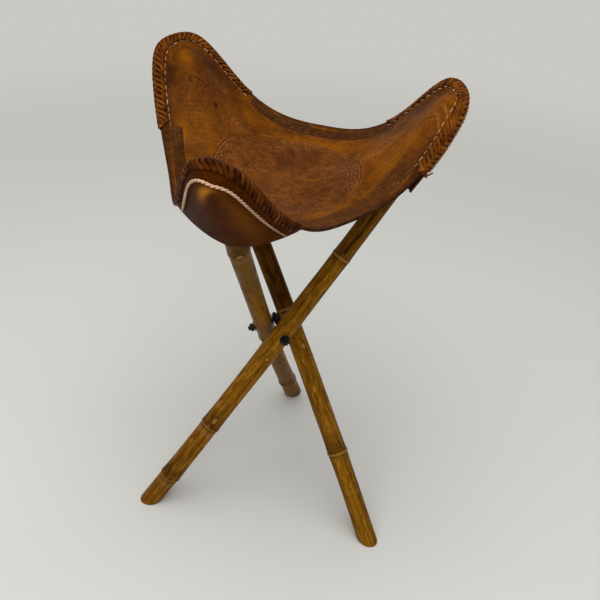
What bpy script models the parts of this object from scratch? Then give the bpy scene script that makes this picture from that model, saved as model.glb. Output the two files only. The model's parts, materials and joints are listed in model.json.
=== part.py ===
# Folding three-legged stool: three bamboo legs on a three-way bolt, and a leather sling seat
# whose corner pockets sit on the leg tops. Metres, +Z up, standing on z = 0.

import math

import bmesh
import bpy
import numpy as np
from mathutils import Matrix, Vector

# Legs
leg_length = 0.704            # from the floor to the top end, along the leg
leg_tilt = math.radians(33.0)  # from the vertical
hub_from_foot = 0.350         # along the leg, to the bolt
foot_diameter = 0.0285
top_diameter = 0.0230
chord_offset = 0.014          # how far each leg's straight chord passes from the stool's axis
top_chamfer = 0.004
foot_round = 0.002
node_swell = 0.0016           # height of a bamboo node's ring
node_half_width = 0.006
node_profile = ((-1.0, 0.0), (-0.45, 0.5), (0.0, 1.0), (0.3, 0.35), (1.0, 0.0))  # along, swell
leg_ring_step = 0.030         # spacing of the leg's cross-sections
leg_nodes = {                 # bamboo nodes, measured from the foot
    "leg_right": (0.058, 0.168, 0.316, 0.485),
    "leg_back": (0.142, 0.292, 0.462),
    "leg_front": (0.075, 0.300, 0.566),
}

# Three-way bolt
bolt_diameter = 0.006
bolt_clearance = 0.0004       # between a bolt and the bore round it
face_gap = 0.0003             # between two faces that bear on each other
hex_across_flats = 0.010
head_height = 0.004
nut_height = 0.005
thread_past_nut = 0.003
washer_diameter = 0.014
washer_thickness = 0.0012

# Leather sling
panel_thickness = 0.0036
pocket_thickness = 0.0026
tip_reaches = (0.0097, 0.0267, -0.0003)  # right, back and front tip, outward past the leg's end
tip_rises = (0.0130, 0.0331, 0.0160)     # the same tips, above the leg's end
tip_turns = (-0.075, 0.087, 0.054)       # how far each corner's outline is turned, in radians
edge_cuts = (0.0353, 0.0583, 0.0813)     # back, left and front edge, inward of the leg ends
edge_drops = (0.0699, 0.0844, 0.0864)    # the same edges, below the leg ends
seat_drop = 0.0964            # the seat's lowest place, below the leg ends
outline_power = 13.3          # a higher power squares the rounded triangle
rim_power = 1.55
bowl_powers = (3.0, 2.4)      # the bowl's rise towards an edge and towards a corner
ridge_width = 0.026           # of the panel's rise over a leg's end
ridge_run = 0.070             # along the rise, from the bowl up to the leg's end
ridge_inset = 0.010           # the rise is highest this far inside the leg's end
rest_gap = 0.0010             # between the panel's curve and the leg's end
leather_gap = 0.0005          # between leather and what lies against it
lacing_gap = 0.0012           # between the lacing or the seam and the leather under it

# Pockets, lacing and seam cord
lacing_reach = math.radians(25.0)  # the laced stretch, to each side of a tip, about the stool's axis
pocket_depth = 0.108          # from the leg's top end to the pocket's lower edge, along the leg
pocket_shoulder = 0.008       # the pocket turns in this far below the leg's top end
pocket_round = 2.0            # a higher power makes the pocket's crown flatter
tip_round = 2.4               # added to that power over the leg's end
pocket_fan = 1.5              # a higher power crowds the pocket's folds towards the leg's end
lacing_width = 0.011
lacing_thickness = 0.0024
lacing_edge = 0.4             # shares of the lacing's thickness, at its free edges and by the rim
lacing_shoulder = 0.8
lacing_lines = (0.3, 0.65)    # shares of its width where its section bends with the pocket
lacing_crown = 0.6            # the same on the panel's side
seam_diameter = 0.0024
tip_steps = 16
edge_steps = 6
bowl_rings = (0.20, 0.40, 0.56, 0.68, 0.76, 0.82, 0.87, 0.91, 0.945, 0.975, 1.0)
pocket_rows = (0.0, 0.14, 0.30, 0.46, 0.60, 0.73, 0.82, 0.91, 1.0)

legs = ("leg_right", "leg_back", "leg_front")
corners = ("right", "back", "front")
sin_tilt = math.sin(leg_tilt)
cos_tilt = math.cos(leg_tilt)


# Values worked out from the sizes above
def leg_radius(along):
    share = along / leg_length
    return 0.5 * (foot_diameter + (top_diameter - foot_diameter) * share)


hub_height = hub_from_foot * cos_tilt
hub_radius = leg_radius(hub_from_foot)
# The two legs on the long bolt stand apart by the eye, its two washers and their gaps.
half_spread = hub_radius + 0.5 * bolt_diameter + washer_thickness + 2 * face_gap
bolt_slope = math.hypot(2 * cos_tilt, sin_tilt)
hub_offset = half_spread * bolt_slope / (math.sqrt(3) * cos_tilt)
bow_depth = hub_offset - chord_offset
bolt_axis = Vector((2 * cos_tilt, 0, sin_tilt)) / bolt_slope
hole_shift = math.sqrt(3) * sin_tilt * hub_offset / bolt_slope**2
eye_y = 0.5 * hub_offset + 0.5 * math.sqrt(3) * sin_tilt * hole_shift
eye_centre = Vector((0, eye_y, hub_height))
leg_direction = np.array((sin_tilt, 0.0, cos_tilt))
outward = np.array((cos_tilt, 0.0, -sin_tilt))  # square to the leg, away from the seat


def turned(points, corner):
    """Points of the right corner, turned about the stool's axis to another corner."""
    angle = corner * 2 * math.pi / 3
    c, s = math.cos(angle), math.sin(angle)
    return np.asarray(points) @ np.array(((c, s, 0), (-s, c, 0), (0, 0, 1)))


def leg_axis(along):
    """Points on the right leg's axis, which bows away from the stool's axis at the bolt."""
    along = np.asarray(along, float)[..., None]
    share = along / leg_length
    hub_share = hub_from_foot / leg_length
    bow = bow_depth * share * (1 - share) / (hub_share * (1 - hub_share))
    foot = np.array((-hub_from_foot * sin_tilt, -chord_offset, 0.0))
    return foot + along * leg_direction + bow * np.array((0.0, -1.0, 0.0))


leg_top = leg_axis(leg_length)
tip_azimuth = math.atan2(leg_top[1], leg_top[0])
top_reach = math.hypot(leg_top[0], leg_top[1])
top_height = leg_top[2]
tip_radii = tuple(top_reach + reach for reach in tip_reaches)
tip_heights = tuple(top_height + rise for rise in tip_rises)
edge_insets = tuple(top_reach - cut for cut in edge_cuts)
edge_heights = tuple(top_height - drop for drop in edge_drops)
middle_height = top_height - seat_drop


def smooth_step(low, high, value):
    share = np.clip((value - low) / (high - low), 0, 1)
    return share * share * (3 - 2 * share)


def corner_angle(azimuth):
    """The nearest corner's number, and the angle from it."""
    corner = np.round((azimuth - tip_azimuth) / (2 * math.pi / 3))
    return corner.astype(int) % 3, azimuth - tip_azimuth - corner * 2 * math.pi / 3


def rim_radius(azimuth):
    """A rounded triangle: the power sum of its three edges and three blunt corners."""
    azimuth = np.asarray(azimuth, float)
    corner, local = corner_angle(azimuth)
    insets = np.array(edge_insets)
    turn = np.array(tip_turns)[corner] * np.cos(1.5 * local) ** 2
    total = np.zeros_like(azimuth)
    for edge, inset in enumerate(edge_insets):
        normal = tip_azimuth + math.pi / 3 + edge * 2 * math.pi / 3
        total += np.maximum(0, np.cos(azimuth - turn - normal) / inset) ** outline_power
    beside = (0.5 / insets[corner]) ** outline_power + (0.5 / insets[corner - 1]) ** outline_power
    blunt = np.maximum(np.array(tip_radii)[corner] ** -outline_power - beside, 0)
    total += blunt * np.maximum(0, np.cos(local - turn)) ** outline_power
    return total ** (-1 / outline_power)


def rim_height(azimuth):
    """Each edge's own height, and from there up to each tip by a power of the way out."""
    corner, local = corner_angle(np.asarray(azimuth, float))
    beside = smooth_step(-math.pi / 6, math.pi / 6, local)
    insets, heights = np.array(edge_insets), np.array(edge_heights)
    inset = insets[corner - 1] + (insets[corner] - insets[corner - 1]) * beside
    height = heights[corner - 1] + (heights[corner] - heights[corner - 1]) * beside
    rise = np.maximum(rim_radius(azimuth) - inset, 0) / (np.array(tip_radii)[corner] - inset)
    return height + (np.array(tip_heights)[corner] - height) * rise**rim_power


ridge_heights = np.zeros(3)


def seat_height(x, y):
    """The sling's middle surface: a bowl up to the rim, with a ridge over each leg's end."""
    azimuth = np.arctan2(y, x)
    radius = np.hypot(x, y)
    rim = rim_radius(azimuth)
    corner, local = corner_angle(azimuth)
    power = bowl_powers[0] + (bowl_powers[1] - bowl_powers[0]) * np.cos(1.5 * local) ** 2
    bowl = middle_height + (rim_height(azimuth) - middle_height) * (radius / rim) ** power
    peak = np.minimum(top_reach - ridge_inset, 0.96 * rim)
    window = smooth_step(peak - ridge_run, peak, radius) * (1 - smooth_step(peak, rim, radius))
    ridge = ridge_heights[corner] * np.exp(-((radius * np.sin(local) / ridge_width) ** 2))
    return bowl + ridge * window


def top_clearance(corner):
    """The least height of the panel's underside over the leg's end."""
    around = np.linspace(0, 2 * math.pi, 48, endpoint=False)[:, None]
    spoke = np.cos(around) * outward + np.sin(around) * np.array((0.0, 1.0, 0.0))
    below = (0.0, top_chamfer, 0.012, 0.025)
    radii = (leg_radius(leg_length) - top_chamfer, *(leg_radius(leg_length - drop) for drop in below[1:]))
    rings = [leg_axis(leg_length - drop) + radius * spoke for drop, radius in zip(below, radii)]
    points = turned(np.concatenate(rings), corner)
    x, y = points[:, 0], points[:, 1]
    inside = np.hypot(x, y) < 0.995 * rim_radius(np.arctan2(y, x))
    flat = seat_point(np.arctan2(y, x), np.hypot(x, y) / rim_radius(np.arctan2(y, x)))
    clear = (flat[:, 2] - points[:, 2]) * seat_normal(flat)[:, 2] - panel_thickness / 2
    return clear[inside].min()


def seat_point(azimuth, share):
    radius = share * rim_radius(azimuth)
    x = radius * np.cos(azimuth)
    y = radius * np.sin(azimuth)
    return np.stack((x, y, seat_height(x, y)), axis=-1)


def unit(vectors):
    return vectors / np.linalg.norm(vectors, axis=-1, keepdims=True)


def seat_normal(points):
    step = 1e-4
    x, y = points[..., 0], points[..., 1]
    slope_x = (seat_height(x + step, y) - seat_height(x - step, y)) / (2 * step)
    slope_y = (seat_height(x, y + step) - seat_height(x, y - step)) / (2 * step)
    return unit(np.stack((-slope_x, -slope_y, np.ones_like(x)), axis=-1))


def rim_frame(azimuth):
    """Rim points with the upward normal and the direction into the panel."""
    step = 1e-3
    points = seat_point(azimuth, 1.0)
    tangent = unit(seat_point(azimuth + step, 1.0) - seat_point(azimuth - step, 1.0))
    normal = seat_normal(seat_point(azimuth, 0.999))
    normal = unit(normal - (normal * tangent).sum(-1, keepdims=True) * tangent)
    return points, normal, np.cross(normal, tangent)


# Each ridge is just high enough for the panel to rest on its leg's end.
for corner in range(3):
    lowest, highest = 0.0, ridge_run
    for _ in range(30):
        ridge_heights[corner] = (lowest + highest) / 2
        if top_clearance(corner) < rest_gap:
            lowest = ridge_heights[corner]
        else:
            highest = ridge_heights[corner]

# Blender helpers
for old in list(bpy.data.objects):
    bpy.data.objects.remove(old)

stool = bpy.data.collections.new("folding_stool")
cutters = bpy.data.collections.new("cutters")
bpy.context.scene.collection.children.link(stool)
bpy.context.scene.collection.children.link(cutters)
cutters.hide_render = True


def finish(name, colour, roughness, metallic=0.0):
    material = bpy.data.materials.new(name)
    material.use_nodes = True
    shader = material.node_tree.nodes["Principled BSDF"]
    shader.inputs["Base Color"].default_value = (*colour, 1)
    shader.inputs["Roughness"].default_value = roughness
    shader.inputs["Metallic"].default_value = metallic
    return material


bamboo = finish("bamboo", (0.36, 0.20, 0.06), 0.42)
tooled_leather = finish("tooled_leather", (0.26, 0.10, 0.025), 0.38)
pocket_leather = finish("pocket_leather", (0.22, 0.08, 0.02), 0.36)
lace_leather = finish("lace_leather", (0.10, 0.035, 0.012), 0.45)
seam_cord = finish("seam_cord", (0.72, 0.58, 0.38), 0.8)
black_steel = finish("black_steel", (0.02, 0.02, 0.02), 0.5, 0.8)


def empty(name, location, parent=None):
    holder = bpy.data.objects.new(name, None)
    holder.location = location
    holder.parent = parent
    stool.objects.link(holder)
    return holder


def place(name, mesh, material, parent, smooth_angle=40):
    """An object whose mesh is already in the parent's coordinates."""
    mesh.shade_smooth()
    mesh.set_sharp_from_angle(angle=math.radians(smooth_angle))
    mesh.materials.clear()
    mesh.materials.append(material)
    placed = bpy.data.objects.new(name, mesh)
    placed.parent = parent
    stool.objects.link(placed)
    return placed


def grid_mesh(name, points, faces):
    mesh = bpy.data.meshes.new(name)
    mesh.from_pydata([tuple(point) for point in points], [], faces)
    mesh.update()
    return mesh


def cylinder(name, diameter, length, centre, axis, segments=24):
    """A round bar along an axis, with its middle at centre."""
    mesh = bpy.data.meshes.new(name)
    shape = bmesh.new()
    bmesh.ops.create_cone(
        shape,
        cap_ends=True,
        segments=segments,
        radius1=diameter / 2,
        radius2=diameter / 2,
        depth=length,
    )
    turn = Vector(axis).to_track_quat("Z", "Y").to_matrix().to_4x4()
    bmesh.ops.transform(shape, matrix=Matrix.Translation(centre) @ turn, verts=shape.verts)
    shape.to_mesh(mesh)
    shape.free()
    return mesh


def change(target, mesh, operation, parent):
    """Cuts a mesh out of an object, or joins it on, by a Boolean with a hidden helper."""
    helper = bpy.data.objects.new(mesh.name, mesh)
    helper.parent = parent
    helper.hide_render = True
    helper.display_type = "WIRE"
    cutters.objects.link(helper)
    boolean = target.modifiers.new(mesh.name, "BOOLEAN")
    boolean.operation = operation
    boolean.object = helper


# The stool's root, the hub, and one pivot on each leg's bolt
root = empty("stool", (0, 0, 0))
hub = empty("hub", eye_centre, root)
hub_point = np.array((0.0, -hub_offset, hub_height))
hole_shifts = (0.0, hole_shift, -hole_shift)
pivots = []
for number, leg in enumerate(legs):
    place_of_hole = turned(hub_point + hole_shifts[number] * leg_direction, number)
    pivots.append(empty(leg + "_pivot", place_of_hole, root))
hole_axes = (Vector((0, -1, 0)), bolt_axis, -bolt_axis)


# Legs: a tapering culm along a bowed line, with a swollen ring at each node
def leg_stations(nodes):
    below = foot_diameter * math.tan(leg_tilt)
    stations = list(np.arange(-below, leg_length - top_chamfer, leg_ring_step))
    for node in nodes:
        stations = [along for along in stations if abs(along - node) > 1.5 * node_half_width]
        stations += [node + shift * node_half_width for shift, swell in node_profile]
    swell_at = {
        round(node + shift * node_half_width, 6): swell * node_swell
        for node in nodes
        for shift, swell in node_profile
    }
    stations += [leg_length - top_chamfer, leg_length]
    return [(along, swell_at.get(round(along, 6), 0.0)) for along in sorted(stations)]


def leg_mesh(number, leg):
    stations = leg_stations(leg_nodes[leg])
    line = bpy.data.curves.new(leg + "_line", "CURVE")
    line.dimensions = "3D"
    line.bevel_depth = 1.0
    line.bevel_resolution = 5
    line.use_fill_caps = True
    spline = line.splines.new("POLY")
    spline.points.add(len(stations) - 1)
    for point, (along, swell) in zip(spline.points, stations):
        point.co = (*turned(leg_axis(along), number), 1)
        point.radius = leg_radius(along) + swell
        if along == leg_length:
            point.radius -= top_chamfer
    guide = bpy.data.objects.new(leg + "_line", line)
    cutters.objects.link(guide)
    bpy.context.view_layer.update()
    graph = bpy.context.evaluated_depsgraph_get()
    mesh = bpy.data.meshes.new_from_object(guide.evaluated_get(graph))
    bpy.data.objects.remove(guide)
    shape = bmesh.new()
    shape.from_mesh(mesh)
    bmesh.ops.remove_doubles(shape, verts=shape.verts, dist=1e-6)
    # The foot is sawn level with the floor, and its edge is rounded.
    whole = list(shape.verts) + list(shape.edges) + list(shape.faces)
    sawn = bmesh.ops.bisect_plane(
        shape, geom=whole, plane_co=(0, 0, 0), plane_no=(0, 0, 1), clear_inner=True
    )
    edge = [item for item in sawn["geom_cut"] if isinstance(item, bmesh.types.BMEdge)]
    bmesh.ops.contextual_create(shape, geom=edge)
    bmesh.ops.recalc_face_normals(shape, faces=shape.faces)
    bmesh.ops.bevel(
        shape, geom=edge, offset=foot_round, segments=2, profile=0.5, affect="EDGES"
    )
    bmesh.ops.translate(shape, verts=shape.verts, vec=-pivots[number].location)
    shape.to_mesh(mesh)
    shape.free()
    return mesh


for number, leg in enumerate(legs):
    culm = place(leg, leg_mesh(number, leg), bamboo, pivots[number])
    bore = cylinder(
        leg + "_bore",
        bolt_diameter + 2 * bolt_clearance,
        2 * foot_diameter,
        (0, 0, 0),
        hole_axes[number],
    )
    change(culm, bore, "DIFFERENCE", pivots[number])


# Three-way bolt, in coordinates from the eye's centre
def washer(name, centre, axis):
    disc = cylinder(name, washer_diameter, washer_thickness, centre, axis)
    ring = place(name, disc, black_steel, hub)
    bore_diameter = bolt_diameter + 2 * bolt_clearance
    bore = cylinder(name + "_bore", bore_diameter, 2 * washer_thickness, centre, axis)
    change(ring, bore, "DIFFERENCE", hub)


def nut(name, centre, axis):
    hexagon = cylinder(
        name, hex_across_flats / math.cos(math.pi / 6), nut_height, centre, axis, segments=6
    )
    body = place(name, hexagon, black_steel, hub, smooth_angle=20)
    bore_diameter = bolt_diameter + 2 * bolt_clearance
    bore = cylinder(name + "_bore", bore_diameter, 2 * nut_height, centre, axis)
    change(body, bore, "DIFFERENCE", hub)


leg_face = half_spread + hub_radius                      # outer side of a leg, from the eye
washer_middle = leg_face + face_gap + washer_thickness / 2
nut_middle = washer_middle + washer_thickness / 2 + face_gap + nut_height / 2
head_seat = washer_middle + washer_thickness / 2 + face_gap
bolt_end = nut_middle + nut_height / 2 + thread_past_nut

shank_middle = bolt_axis * (head_seat + head_height / 2 - bolt_end) / 2
shank_length = bolt_end + head_seat + head_height / 2
bolt_shank = cylinder("long_bolt", bolt_diameter, shank_length, shank_middle, bolt_axis)
long_bolt = place("long_bolt", bolt_shank, black_steel, hub)
bolt_head = cylinder(
    "long_bolt_head",
    hex_across_flats / math.cos(math.pi / 6),
    head_height,
    bolt_axis * (head_seat + head_height / 2),
    bolt_axis,
    segments=6,
)
change(long_bolt, bolt_head, "UNION", hub)
washer("head_washer", bolt_axis * washer_middle, bolt_axis)
washer("nut_washer", -bolt_axis * washer_middle, bolt_axis)
nut("long_bolt_nut", -bolt_axis * nut_middle, bolt_axis)
eye_side = 0.5 * bolt_diameter + face_gap + washer_thickness / 2
washer("eye_washer_back", bolt_axis * eye_side, bolt_axis)
washer("eye_washer_front", -bolt_axis * eye_side, bolt_axis)

# The eye bolt: a ring round the long bolt, and a shank through the right leg
eye_radius = bolt_diameter / 2 + bolt_clearance + bolt_diameter / 2
shank_axis = Vector((0, -1, 0))
right_leg_face = hub_offset + eye_y + hub_radius
shank_washer_middle = right_leg_face + face_gap + washer_thickness / 2
shank_nut_middle = shank_washer_middle + washer_thickness / 2 + face_gap + nut_height / 2
eye_bolt_end = shank_nut_middle + nut_height / 2 + thread_past_nut
bpy.ops.mesh.primitive_torus_add(
    major_radius=eye_radius, minor_radius=bolt_diameter / 2, major_segments=28, minor_segments=12
)
ring = bpy.context.object
eye_mesh = ring.data
bpy.data.objects.remove(ring)
eye_mesh.transform(bolt_axis.to_track_quat("Z", "Y").to_matrix().to_4x4())
eye_bolt = place("eye_bolt", eye_mesh, black_steel, hub)
shank = cylinder(
    "eye_bolt_shank",
    bolt_diameter,
    eye_bolt_end - eye_radius,
    shank_axis * (eye_bolt_end + eye_radius) / 2,
    shank_axis,
)
change(eye_bolt, shank, "UNION", hub)
washer("shank_washer", shank_axis * shank_washer_middle, shank_axis)
nut("eye_bolt_nut", shank_axis * shank_nut_middle, shank_axis)


# Sling panel: rings from the middle out to the rim, made into a shell
def rim_azimuths():
    tip_part = np.linspace(-lacing_reach, lacing_reach, tip_steps + 1)[:-1]
    edge_part = np.linspace(lacing_reach, 2 * math.pi / 3 - lacing_reach, edge_steps + 1)[:-1]
    one_third = np.concatenate((tip_part, edge_part)) + tip_azimuth
    return np.concatenate([one_third + corner * 2 * math.pi / 3 for corner in range(3)])


def solidify(target, thickness):
    shell = target.modifiers.new("thickness", "SOLIDIFY")
    shell.thickness = thickness
    shell.offset = 0
    shell.use_even_offset = True


azimuths = rim_azimuths()
count = len(azimuths)
middle = np.array(((0.0, 0.0, middle_height),))
panel_points = np.concatenate([middle] + [seat_point(azimuths, share) for share in bowl_rings])
panel_faces = [(0, 1 + i, 1 + (i + 1) % count) for i in range(count)]
for ring_number in range(len(bowl_rings) - 1):
    first = 1 + ring_number * count
    for i in range(count):
        j = (i + 1) % count
        panel_faces.append((first + i, first + count + i, first + count + j, first + j))
panel_mesh = grid_mesh("seat_panel", panel_points - np.array(eye_centre), panel_faces)
seat_panel = place("seat_panel", panel_mesh, tooled_leather, hub)
solidify(seat_panel, panel_thickness)

# Pockets: leather drawn from the corner's rim to a line down the leg's outer side
tip_angles = np.linspace(-lacing_reach, lacing_reach, tip_steps + 1)
stack = panel_thickness / 2 + leather_gap + pocket_thickness / 2


def pocket_surface(corner, angles, shares):
    """Points of a corner's pocket: share 0 on the leg's line, 1 at the rim."""
    azimuth = tip_azimuth + corner * 2 * math.pi / 3 + angles
    rim, normal = rim_frame(azimuth)[:2]
    rim = rim - stack * normal
    spread = np.abs(angles) / lacing_reach
    along = leg_length - pocket_shoulder - (pocket_depth - pocket_shoulder) * spread**pocket_fan
    clear = leg_radius(along) + leather_gap + pocket_thickness / 2
    line = turned(leg_axis(along) + clear[:, None] * outward, corner)
    out = turned(outward, corner)
    rim_out = ((rim - line) @ out)[:, None] * out
    across = rim - line - rim_out
    shares = np.asarray(shares)[:, None, None]
    fullness = pocket_round + tip_round * np.clip(1 - spread, 0, 1)[:, None] ** 2
    return line + shares * across + shares**fullness * rim_out


def pocket_normal(corner, angles, shares):
    step = 1e-3
    shares = np.asarray(shares)
    before = pocket_surface(corner, angles - step, shares)
    along_rim = pocket_surface(corner, angles + step, shares) - before
    to_rim = pocket_surface(corner, angles, shares) - pocket_surface(corner, angles, shares - step)
    normal = unit(np.cross(to_rim, along_rim))
    facing = np.sign(normal @ turned(outward + leg_direction, corner))
    return normal * facing[..., None]


def pocket_mesh(corner):
    points = pocket_surface(corner, tip_angles, pocket_rows)
    rows, columns = points.shape[:2]
    faces = []
    for row in range(rows - 1):
        for i in range(columns - 1):
            first = row * columns + i
            faces.append((first, first + columns, first + columns + 1, first + 1))
    mesh = grid_mesh("pocket", points.reshape(-1, 3) - np.array(pivots[corner].location), faces)
    shape = bmesh.new()
    shape.from_mesh(mesh)
    bmesh.ops.remove_doubles(shape, verts=shape.verts, dist=1e-6)
    shape.to_mesh(mesh)
    shape.free()
    return mesh


# Lacing: a binding of U section over both leather edges, swept along the corner's rim
def on_pocket(corner, reach, lift):
    """Points of the pocket's outer side, a given reach in from the rim and lifted off it."""
    spots = []
    for i in range(len(tip_angles)):
        angle = tip_angles[i : i + 1]
        ends = pocket_surface(corner, angle, [0.0, 1.0])[:, 0]
        share = [1 - reach / np.linalg.norm(ends[1] - ends[0])]
        facing = pocket_normal(corner, angle, share)[0, 0]
        spots.append(pocket_surface(corner, angle, share)[0, 0] + lift * facing)
    return np.array(spots)


def lacing_mesh(corner):
    azimuth = tip_azimuth + corner * 2 * math.pi / 3 + tip_angles
    rim, normal, inward = rim_frame(azimuth)
    low_line, high_line = (share * lacing_width for share in lacing_lines)
    crown_line = lacing_crown * lacing_width
    edge_lift = lacing_edge * lacing_thickness
    shoulder_lift = lacing_shoulder * lacing_thickness
    past_edge = lacing_gap + lacing_thickness / 3

    def above(reach, lift):
        base = rim + reach * inward
        base[:, 2] = seat_height(base[:, 0], base[:, 1])
        return base + (panel_thickness / 2 + lacing_gap + lift) * seat_normal(base)

    def below(reach, lift):
        return on_pocket(corner, reach, pocket_thickness / 2 + lacing_gap + lift)

    section = [
        above(lacing_width, edge_lift),
        above(crown_line, lacing_thickness),
        above(-past_edge, shoulder_lift),
        rim - (lacing_gap + lacing_thickness) * inward - 0.5 * stack * normal,
        below(-past_edge, shoulder_lift),
        below(low_line, lacing_thickness),
        below(high_line, lacing_thickness),
        below(lacing_width, edge_lift),
        below(lacing_width, 0.0),
        below(high_line, 0.0),
        below(low_line, 0.0),
        below(-lacing_gap, 0.0),
        above(-lacing_gap, 0.0),
        above(crown_line, 0.0),
        above(lacing_width, 0.0),
    ]
    return sweep_mesh("lacing", section, np.array(pivots[corner].location))


def sweep_mesh(name, section, origin):
    """A closed solid from corresponding points of a section along a path, with flat ends."""
    sides = len(section)
    stations = len(section[0])
    points = np.concatenate(section) - origin
    faces = []
    for side in range(sides):
        following = (side + 1) % sides
        for i in range(stations - 1):
            first = side * stations + i
            second = following * stations + i
            faces.append((first, first + 1, second + 1, second))
    faces.append(tuple(side * stations for side in range(sides)))
    faces.append(tuple(side * stations + stations - 1 for side in reversed(range(sides))))
    mesh = grid_mesh(name, points, faces)
    shape = bmesh.new()
    shape.from_mesh(mesh)
    bmesh.ops.triangulate(shape, faces=[face for face in shape.faces if len(face.verts) > 4])
    bmesh.ops.recalc_face_normals(shape, faces=shape.faces)
    shape.to_mesh(mesh)
    shape.free()
    return mesh


# Seam: a cord along the pocket, beside the lacing's lower edge
def seam_curve(corner):
    curve = bpy.data.curves.new("seam", "CURVE")
    curve.dimensions = "3D"
    curve.bevel_depth = seam_diameter / 2
    curve.bevel_resolution = 2
    curve.use_fill_caps = True
    reach = lacing_width + lacing_gap + seam_diameter / 2
    lift = pocket_thickness / 2 + lacing_gap + seam_diameter / 2
    spline = curve.splines.new("POLY")
    spline.points.add(len(tip_angles) - 1)
    for point, spot in zip(spline.points, on_pocket(corner, reach, lift)):
        point.co = (*(spot - np.array(pivots[corner].location)), 1)
    curve.materials.append(seam_cord)
    return curve


for corner, side in enumerate(corners):
    pocket = place("pocket_" + side, pocket_mesh(corner), pocket_leather, pivots[corner])
    solidify(pocket, pocket_thickness)
    place("lacing_" + side, lacing_mesh(corner), lace_leather, pivots[corner])
    seam = bpy.data.objects.new("seam_" + side, seam_curve(corner))
    seam.parent = pivots[corner]
    stool.objects.link(seam)


# The root moves so that the origin is under the middle of the stool's outer box.
def outer_box():
    bpy.context.view_layer.update()
    graph = bpy.context.evaluated_depsgraph_get()
    low = np.full(3, np.inf)
    high = np.full(3, -np.inf)
    for item in stool.objects:
        if item.type == "EMPTY":
            continue
        solid = item.evaluated_get(graph)
        mesh = solid.to_mesh()
        points = np.empty(len(mesh.vertices) * 3)
        mesh.vertices.foreach_get("co", points)
        solid.to_mesh_clear()
        world = np.array(solid.matrix_world)
        points = points.reshape(-1, 3) @ world[:3, :3].T + world[:3, 3]
        low = np.minimum(low, points.min(axis=0))
        high = np.maximum(high, points.max(axis=0))
    return low, high


low, high = outer_box()
root.location = (-(low[0] + high[0]) / 2, -(low[1] + high[1]) / 2, 0)
bpy.context.view_layer.update()
print("size", np.round(high - low, 4), "root", np.round(root.location, 5))
for number, leg in enumerate(legs):
    spot = pivots[number].matrix_world.translation
    print(leg, "pivot", np.round(spot, 5), "axis", np.round(hole_axes[number], 5))
print("hub", np.round(hub.matrix_world.translation, 5))
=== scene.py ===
import json
import math

import bmesh
import bpy
import numpy as np
from mathutils import Matrix, Vector


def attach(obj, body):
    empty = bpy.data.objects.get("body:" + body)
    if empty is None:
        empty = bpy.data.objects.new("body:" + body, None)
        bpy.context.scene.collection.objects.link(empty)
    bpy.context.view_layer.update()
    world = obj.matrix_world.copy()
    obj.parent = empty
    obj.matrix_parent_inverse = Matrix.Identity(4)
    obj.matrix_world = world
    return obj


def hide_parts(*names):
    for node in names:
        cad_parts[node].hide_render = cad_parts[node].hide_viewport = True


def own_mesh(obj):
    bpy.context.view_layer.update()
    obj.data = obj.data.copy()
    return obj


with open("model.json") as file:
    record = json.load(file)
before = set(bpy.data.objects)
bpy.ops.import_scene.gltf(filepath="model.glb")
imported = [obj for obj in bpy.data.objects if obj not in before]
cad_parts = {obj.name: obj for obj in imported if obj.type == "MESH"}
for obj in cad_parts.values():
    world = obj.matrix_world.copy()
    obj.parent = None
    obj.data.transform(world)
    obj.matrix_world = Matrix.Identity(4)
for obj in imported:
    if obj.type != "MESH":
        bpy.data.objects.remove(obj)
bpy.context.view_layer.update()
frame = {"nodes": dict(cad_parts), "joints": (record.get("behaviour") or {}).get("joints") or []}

# Sizes that the pieces share, in metres; they are the solids' own
stool = {
    "legLength": 0.704,
    "legTilt": math.radians(33.0),
    "hubFromFoot": 0.350,
    "hubOffset": 0.021468,
    "chordOffset": 0.014,
    "footDiameter": 0.0285,
    "topDiameter": 0.0230,
    "panelThickness": 0.0036,
    "pocketThickness": 0.0026,
    "tipRadii": (0.20301, 0.22001, 0.19301),
    "tipHeights": (0.60342, 0.62352, 0.60642),
    "tipTurns": (-0.075, 0.087, 0.054),
    "edgeInsets": (0.15801, 0.13501, 0.11201),
    "edgeHeights": (0.52052, 0.50602, 0.50402),
    "middleHeight": 0.49402,
    "outlinePower": 13.3,
    "rimPower": 1.55,
    "bowlPowers": (3.0, 2.4),
    "ridgeHeights": (0.017777, 0.021376, 0.005918),
    "ridgeWidth": 0.026,
    "ridgeRun": 0.070,
    "ridgeInset": 0.010,
    "leatherGap": 0.0005,
    "lacingReach": math.radians(25.0),
    "pocketDepth": 0.108,
    "pocketTrim": 0.007,
    "pocketShoulder": 0.008,
    "pocketRound": 2.0,
    "tipRound": 2.4,
    "pocketFan": 1.5,
}
corners = ("right", "back", "front")  # corner 0, 1 and 2, a third of a turn apart
third = 2 * math.pi / 3
sinTilt, cosTilt = math.sin(stool["legTilt"]), math.cos(stool["legTilt"])
hubPoint = np.array((0.0, -stool["hubOffset"], stool["hubFromFoot"] * cosTilt))
shift = np.array(frame["joints"][0]["pos_m"]) - hubPoint  # from the stool's own axis to the row frame
legDirection = np.array((sinTilt, 0.0, cosTilt))
outward = np.array((cosTilt, 0.0, -sinTilt))
across = np.array((0.0, 1.0, 0.0))


# Shapes of the solids, as functions
def legRadius(along):  # a straight taper from the foot to the top
    share = along / stool["legLength"]
    return 0.5 * (stool["footDiameter"] + (stool["topDiameter"] - stool["footDiameter"]) * share)


def turned(points, corner):  # a third of a turn about the stool's axis for each corner
    c, s = math.cos(corner * third), math.sin(corner * third)
    return np.asarray(points) @ np.array(((c, s, 0), (-s, c, 0), (0, 0, 1)))


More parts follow.
